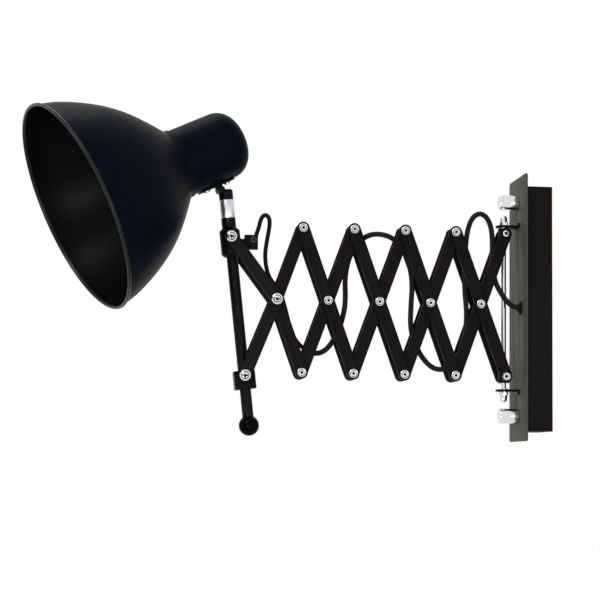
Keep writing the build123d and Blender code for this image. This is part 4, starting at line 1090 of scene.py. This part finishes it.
def square_collar(shape, matrix, half, bottom, top, bore):
    """Square block with rounded edges and a round bore, as rings around the bore."""
    steps = 64
    edge = 0.7 * MM
    squareness = 26
    angles = [2 * math.pi * (step + 0.5) / steps for step in range(steps)]

    def ring(radii, along):
        return [(radius * math.cos(a), radius * math.sin(a), along) for radius, a in zip(radii, angles)]

    def square(side, along):
        spans = [abs(math.cos(a)) ** squareness + abs(math.sin(a)) ** squareness for a in angles]
        return ring([side / span ** (1 / squareness) for span in spans], along)

    ending = ((0, half - edge), (edge * 0.3, half - edge * 0.3), (edge, half))
    sides = [square(side, along) for along, side in both_ends(ending, bottom, top)]
    rings = [ring([bore] * steps, bottom), *sides, ring([bore] * steps, top)]
    shape.shell(rings, matrix, "collar", closed_path=True)


# outline of the bell: depth in front of the neck and radius, in millimetres
BELL = ((15.5, 51.1), (31, 66), (46.6, 77.8), (62.1, 86.8), (77.6, 94), (93.1, 99.6), (108.6, 102.9))


class LAMP_OT_shade_head(bpy.types.Operator):
    """Build the sleeve, the knuckle, the neck cup and the bell shade"""

    bl_idname = "lamp.shade_head"
    bl_label = "Shade Head"

    def execute(self, context):
        sizes = context.scene.lamp_sizes
        # sleeve with its bright band
        sleeve = frame_on(COLLAR, TUBE_UP, TILT_SIDE)
        r = sizes.sleeve_radius
        bore = sizes.tube_radius + CLEAR
        band = r + 0.06 * MM
        low, high = 9.9 * MM, 41.7 * MM
        edge = 0.4 * MM
        band_low, band_high = 19.5 * MM, 37.4 * MM
        profile = [(low, bore), (low, r - edge), (low + edge, r)]
        profile += both_ends([(0, r), (0.1 * MM, band)], band_low, band_high)
        profile += [(high, r), (high, bore)]
        names = rims(len(profile), (4,), "foil")
        turned_piece("sleeve", "swivel", "swivel_sleeve", profile, sleeve, "tube", 64, ring_names=names)
        refined("knuckle", "tilt_fork", "swivel", "tube", 0.3 * MM)
        refined("knuckle_bolt", "tilt_bolt", "swivel", "tube", 0.2 * MM)
        refined("neck_saddle", "saddle_bracket", "lampshade", "collar", 0.25 * MM)
        # neck cup with a rounded closed end
        neck = frame_on(NECK, AIM, TILT_SIDE)
        r = sizes.neck_radius
        wall = sizes.sheet
        front = 33.2 * MM
        depth = 72.6 * MM
        back = front - depth
        fillet = 19.6 * MM
        centre = (back + fillet, r - fillet)
        outside = [(front, r), (back + fillet, r)] + arc(centre, fillet, 0, -90, 16)[1:] + [(back, 0)]
        inside = [(back + wall, 0)] + arc(centre, fillet - wall, 0, -90, 12)[::-1] + [(front, r - wall)]
        turned_piece("neck", "lampshade", "neck_cup", outside + inside, neck, "shade", 128)
        # spun bell shade over the neck's front end, with a rolled rim
        bore = r + FIT
        collar = bore + wall
        curve = eased([(0, collar)] + in_mm(BELL), 60)
        bead = sizes.bead_radius
        rim_at, rim_radius = front + curve[-1][0], curve[-1][1]
        outer = [(front + along, radius) for along, radius in curve if front + along < rim_at - bead * 0.9]
        roll = arc((rim_at, rim_radius - wall / 2 + bead * 0.35), bead, -62, 150, 12)
        lining = [(along, radius - wall) for along, radius in reversed(outer)]
        tuck = front - 5 * MM
        start = [(tuck, bore), (tuck, collar - 0.3 * MM), (tuck + 0.4 * MM, collar)]
        profile = start + outer + roll + lining + [(front, bore)]
        names = [None] * (len(start + outer) - 1) + ["rim"] * (len(roll) + 1) + ["inner"] * len(lining)
        names += [None] * (len(profile) - len(names))
        turned_piece("bell_shade", "lampshade", "shade", profile, neck, "shade", 192, ring_names=names, angle=50.0)
        return {"FINISHED"}


# ---------------------------------------------------------------- cord
# control points of each cord's line, in millimetres
BRAID_ROUTE = (
    (12, -25, 1.3), (12, -34.8, 1.3), (9.6, -41.6, 8.4), (6.9, -47.1, 17.2), (3.4, -51.8, 28.4),
    (1, -53.9, 47.6), (0, -53.2, 69), (0, -54.6, 83), (0, -59.2, 92.8), (0, -66.4, 96.4), (0, -73.4, 91.9),
    (0, -77.8, 82), (0, -80, 68.5), (0, -81.3, 47.1), (0, -81.5, 20.1), (0, -78.7, -5.7), (0, -80.9, -28.5),
    (0, -86.2, -45), (0, -95, -56.5), (0, -105.5, -61), (0, -116, -57.5), (0, -127.1, -44.2),
    (0, -135.7, -22.6), (0, -135.1, 2.1), (0, -133.5, 26.3), (0, -138.4, 49.7), (0, -150.5, 67.8),
    (0, -166.6, 73.3), (0, -182.1, 70), (0, -195.5, 54.2), (0, -201.3, 29.8), (0, -199.8, 4.7),
    (0, -203.5, -15.5), (0, -210.8, -32.9), (0, -220.6, -45.3), (0, -232.4, -47.5), (0, -240, -42.5),
)
LEAD_ROUTE = (
    (0, -240, -42.5), (0, -247.6, -37.5), (0, -254.6, -22), (0, -260.2, 0), (0, -265.4, 15.5),
    (0, -276.4, 26.2), (0, -280.6, 46.7), (0, -277.8, 66), (0, -275.7, 78), (0, -276.2, 85.6),
    (0, -280.4, 88.8), (0, -284.4, 85), (0, -286.6, 74.5), (0, -291.8, 60.6), (0, -314.3, 60.6),
)
# each stretch: its cord, the places between which it lies, the body that it leaves and the one that it
# joins, and the places between which it turns from the one to the other, all in millimetres
STRETCHES = (
    ("braid", (12, -25, 1.3), (0, -53.2, 62), "wall_unit", "rod_swivel", (11, -34, 2), (2, -52, 40)),
    ("braid", (0, -53.2, 62), (0, -62, 95), "rod_swivel", "rising_5", (0, -53, 62), (0, -53, 91)),
    ("braid", (0, -62, 95), (0, -135.4, -8), "rising_5", "falling_4", (0, -85, 0), (0, -114, 0)),
    ("braid", (0, -135.4, -8), (0, -176, 72), "falling_4", "rising_3", (0, -134, 20), (0, -158, 68)),
    ("braid", (0, -176, 72), (0, -206, -22), "rising_3", "falling_2", (0, 0, 20), (0, 0, -20)),
    ("braid", (0, -206, -22), (0, -222, -46), "falling_2", "rising_2", (0, -206, 0), (0, -221, 0)),
    ("braid", (0, -222, -46), (0, -240, -42.5), "rising_2", "falling_half", (0, -224, 0), (0, -247, 0)),
    ("lead", (0, -240, -42.5), (0, -251, -28), "rising_2", "falling_half", (0, -224, 0), (0, -247, 0)),
    ("lead", (0, -251, -28), (0, -272, 22), "falling_half", "upper_link_pair", (0, 0, -22), (0, 0, 16)),
    ("lead", (0, -272, 22), (0, -314.3, 60.6), "upper_link_pair", "tube", (0, 0, 26), (0, 0, 58)),
)


def flowing(route):
    """Points of the smooth line that has the route as its control points."""
    curve = bpy.data.curves.new("route", "CURVE")
    curve.dimensions = "3D"
    curve.resolution_u = 8
    spline = curve.splines.new("NURBS")
    spline.points.add(len(route) - 1)
    for point, place in zip(spline.points, route):
        point.co = (*(value * MM for value in place), 1.0)
    spline.order_u = 3
    spline.use_endpoint_u = True
    mesh = solved(place_object("route", curve))
    points = [vert.co.copy() for vert in mesh.vertices]
    bpy.data.meshes.remove(mesh)
    return points


def measured(points):
    """The points with the line's direction and its length so far at each."""
    lengths = [0.0]
    for first, second in zip(points, points[1:]):
        lengths.append(lengths[-1] + (second - first).length)
    before = [points[0], *points[:-1]]
    after = [*points[1:], points[-1]]
    directions = [(second - first).normalized() for first, second in zip(before, after)]
    return points, directions, lengths


def nearest(points, place):
    """Index of the point that is nearest to a place in millimetres."""
    return min(range(len(points)), key=lambda index: (points[index] - Vector(place) * MM).length)


def stretched_tube(name, points, directions, lengths, radius, finish_name):
    """Tube of even section along points, with a UV map in metres along it and turns around it."""
    steps = 20
    bm = bmesh.new()
    uv = bm.loops.layers.uv.new("cord")
    rings = []
    for point, direction in zip(points, directions):
        side = (ACROSS - direction * ACROSS.dot(direction)).normalized()
        other = direction.cross(side)
        rings.append([bm.verts.new(point + side * x + other * y) for x, y in around(radius, steps)])
    for index, (low, high) in enumerate(zip(rings, rings[1:])):
        for step in range(steps):
            after = (step + 1) % steps
            face = bm.faces.new((low[step], low[after], high[after], high[step]))
            corners = ((index, step), (index, step + 1), (index + 1, step + 1), (index + 1, step))
            for loop, (row, column) in zip(face.loops, corners):
                loop[uv].uv = (lengths[row], column / steps)
    for ring in (rings[0], rings[-1]):
        bm.faces.new(ring)
    bmesh.ops.recalc_face_normals(bm, faces=bm.faces)
    mesh = ended(bm, name, [finish_name])
    smooth(mesh, 60)
    return place_object(name, mesh)


class LAMP_OT_cord(bpy.types.Operator):
    """Build the braided cord and the plain lead, in stretches"""

    bl_idname = "lamp.cord"
    bl_label = "Cord"

    def execute(self, context):
        sizes = context.scene.lamp_sizes
        braided = ["cord_wall_end", *(f"cord_stretch_{cell}" for cell in (5, 4, 3, 2))]
        cords = {
            "braid": (BRAID_ROUTE, sizes.braid_radius, braided),
            "lead": (LEAD_ROUTE, sizes.lead_radius, ["cord_lead"]),
        }
        lines = {kind: measured(flowing(route)) for kind, (route, _, _) in cords.items()}
        for number, (kind, first, last, body, next_body, start, end) in enumerate(STRETCHES, 1):
            points, directions, lengths = lines[kind]
            part = slice(nearest(points, first), nearest(points, last) + 1)
            _, radius, nodes = cords[kind]
            piece = stretched_tube(f"cord_{number:02d}", points[part], directions[part], lengths[part], radius, kind)
            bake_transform(piece)
            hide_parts(*nodes)
        return {"FINISHED"}


class LAMP_OT_carried_over(bpy.types.Operator):
    """Give every solid that stays visible its own finish"""

    bl_idname = "lamp.carried_over"
    bl_label = "Inner Parts"

    def execute(self, context):
        finishes = {"terminal_block": "terminal", "lamp_holder": "phenolic", "saddle_screws": "nickel"}
        finishes |= dict.fromkeys(("wall_crossbar", "mounting_studs", "holder_bracket", "holder_nipple"), "zinc")
        finishes |= dict.fromkeys(("terminal_screws", "holder_contacts"), "brass")
        for node, thing in frame["nodes"].items():
            if thing.hide_render:
                continue
            if node not in finishes:
                raise RuntimeError(f"{node} has no finish")
            thing.data.materials.clear()
            thing.data.materials.append(finish(finishes[node]))
        return {"FINISHED"}


# ---------------------------------------------------------------- stage
# all in metres: the place that the lamps point at, and the camera as it was solved from the photo
MIDDLE = Vector((0, -0.25, 0.03))
CAMERA_TARGET = Vector((0, -0.24503, 0.00525))
CAMERA_PLACE = Vector((1.64323, -0.43628, -0.15780))
CAMERA_ROLL = math.radians(0.7)
FLOOR_REACH = 30.0
FLOOR_LEVEL = -0.9
# share of plain white in the floor where it is seen, and strength of the world where it only lights
FLOOR_WHITE = 0.99
FILL = 0.2
# name, place and width of each lamp in metres, and its power in watts
LAMPS = (
    ("key", (1.5, -1.5, 1.5), 1.1, 20.0),
    ("front", (1.38, -0.68, -0.45), 0.45, 7.5),
    ("fill", (1.6, 0.7, -0.3), 1.4, 4.0),
    ("top", (-0.6, -0.6, 1.9), 1.2, 9.0),
)


def seen(graph):
    """1 where a ray comes from the camera, a reflection or clear glass, and 0 elsewhere."""
    camera = graph.add("ShaderNodeLightPath", out="Is Camera Ray")
    glossy, through = camera.beside("Is Glossy Ray"), camera.beside("Is Transmission Ray")
    return camera.maths("MAXIMUM", glossy).maths("MAXIMUM", through)


class LAMP_OT_stage(bpy.types.Operator):
    """Set the pale floor, the soft light and the camera"""

    bl_idname = "lamp.stage"
    bl_label = "Stage"

    def execute(self, context):
        scene = context.scene
        scene.view_settings.view_transform = "Standard"
        # floor
        paint = Finish("floor")
        pale = paint.spread(3.0, 2.0)
        tone = paint.blend(pale, (0.84, 0.84, 0.84, 1), (0.88, 0.88, 0.88, 1))
        diffuse = paint.add("ShaderNodeBsdfDiffuse", sockets={"Color": tone})
        glow = paint.add("ShaderNodeEmission", sockets={"Color": (1, 1, 1, 1), "Strength": 1.0})
        lit = paint.add("ShaderNodeMixShader", sockets={0: seen(paint) * FLOOR_WHITE, 1: diffuse, 2: glow})
        clear = paint.add("ShaderNodeBsdfTransparent")
        back = paint.add("ShaderNodeNewGeometry", out="Backfacing")
        paint.add_output(paint.add("ShaderNodeMixShader", sockets={0: back, 1: lit, 2: clear}))
        floor_mesh = bpy.data.meshes.new("floor")
        square = ((-1, -1), (1, -1), (1, 1), (-1, 1))
        corners = [(x * FLOOR_REACH, y * FLOOR_REACH, FLOOR_LEVEL) for x, y in square]
        floor_mesh.from_pydata(corners, [], [(0, 1, 2, 3)])
        floor_mesh.materials.append(paint.material)
        place_object("floor", floor_mesh)
        # world: white where it is seen, plain fill elsewhere
        world = bpy.data.worlds.new("studio")
        scene.world = world
        world.use_nodes = True
        sky = Graph(world.node_tree)
        sky.tree.nodes.clear()
        strength = seen(sky) * (1.0 - FILL) + FILL
        backdrop = sky.add("ShaderNodeBackground", sockets={"Color": (1, 1, 1, 1), "Strength": strength})
        output = sky.tree.nodes.new("ShaderNodeOutputWorld")
        sky.tree.links.new(backdrop.socket, output.inputs["Surface"])
        # soft lamps
        for name, place, size, power in LAMPS:
            lamp = bpy.data.lights.new(name, "AREA")
            lamp.shape = "DISK"
            lamp.size = size
            lamp.energy = power
            holder = place_object(name, lamp)
            aim = (MIDDLE - Vector(place)).to_track_quat("-Z", "Y")
            holder.matrix_world = Matrix.Translation(place) @ aim.to_matrix().to_4x4()
        # camera at the picture's viewing angle
        forward = (CAMERA_TARGET - CAMERA_PLACE).normalized()
        right = forward.cross(UP).normalized()
        above = right.cross(forward)
        x = right * math.cos(CAMERA_ROLL) + above * math.sin(CAMERA_ROLL)
        y = above * math.cos(CAMERA_ROLL) - right * math.sin(CAMERA_ROLL)
        camera = bpy.data.cameras.new("camera")
        camera.sensor_width = 36
        camera.lens = 102.08
        camera.clip_start = 0.05
        camera.clip_end = 200
        holder = place_object("camera", camera)
        matrix = Matrix((x, y, -forward)).transposed().to_4x4()
        matrix.translation = CAMERA_PLACE
        holder.matrix_world = matrix
        scene.camera = holder
        return {"FINISHED"}


class LAMP_PT_panel(bpy.types.Panel):
    """Steps and values of the lamp"""

    bl_label = "Accordion Wall Lamp"
    bl_idname = "LAMP_PT_panel"
    bl_space_type = "VIEW_3D"
    bl_region_type = "UI"
    bl_category = "Lamp"

    def draw(self, context):
        layout = self.layout
        for group in (context.scene.lamp_sizes, context.scene.lamp_finishes):
            for key in group.__annotations__:
                layout.prop(group, key)
        for step in STEPS:
            layout.operator(step.bl_idname)


STEPS = (
    LAMP_OT_wall_unit,
    LAMP_OT_arm_bars,
    LAMP_OT_fasteners,
    LAMP_OT_head_tube,
    LAMP_OT_shade_head,
    LAMP_OT_cord,
    LAMP_OT_carried_over,
    LAMP_OT_stage,
)
CLASSES = (LampSizes, LampFinishes, *STEPS, LAMP_PT_panel)


def register():
    for cls in CLASSES:
        bpy.utils.register_class(cls)
    bpy.types.Scene.lamp_sizes = PointerProperty(type=LampSizes)
    bpy.types.Scene.lamp_finishes = PointerProperty(type=LampFinishes)


def unregister():
    del bpy.types.Scene.lamp_finishes
    del bpy.types.Scene.lamp_sizes
    for cls in reversed(CLASSES):
        bpy.utils.unregister_class(cls)


def main():
    register()
    for step in STEPS:
        group, name = step.bl_idname.split(".")
        getattr(getattr(bpy.ops, group), name)()


if __name__ == "__main__":
    main()
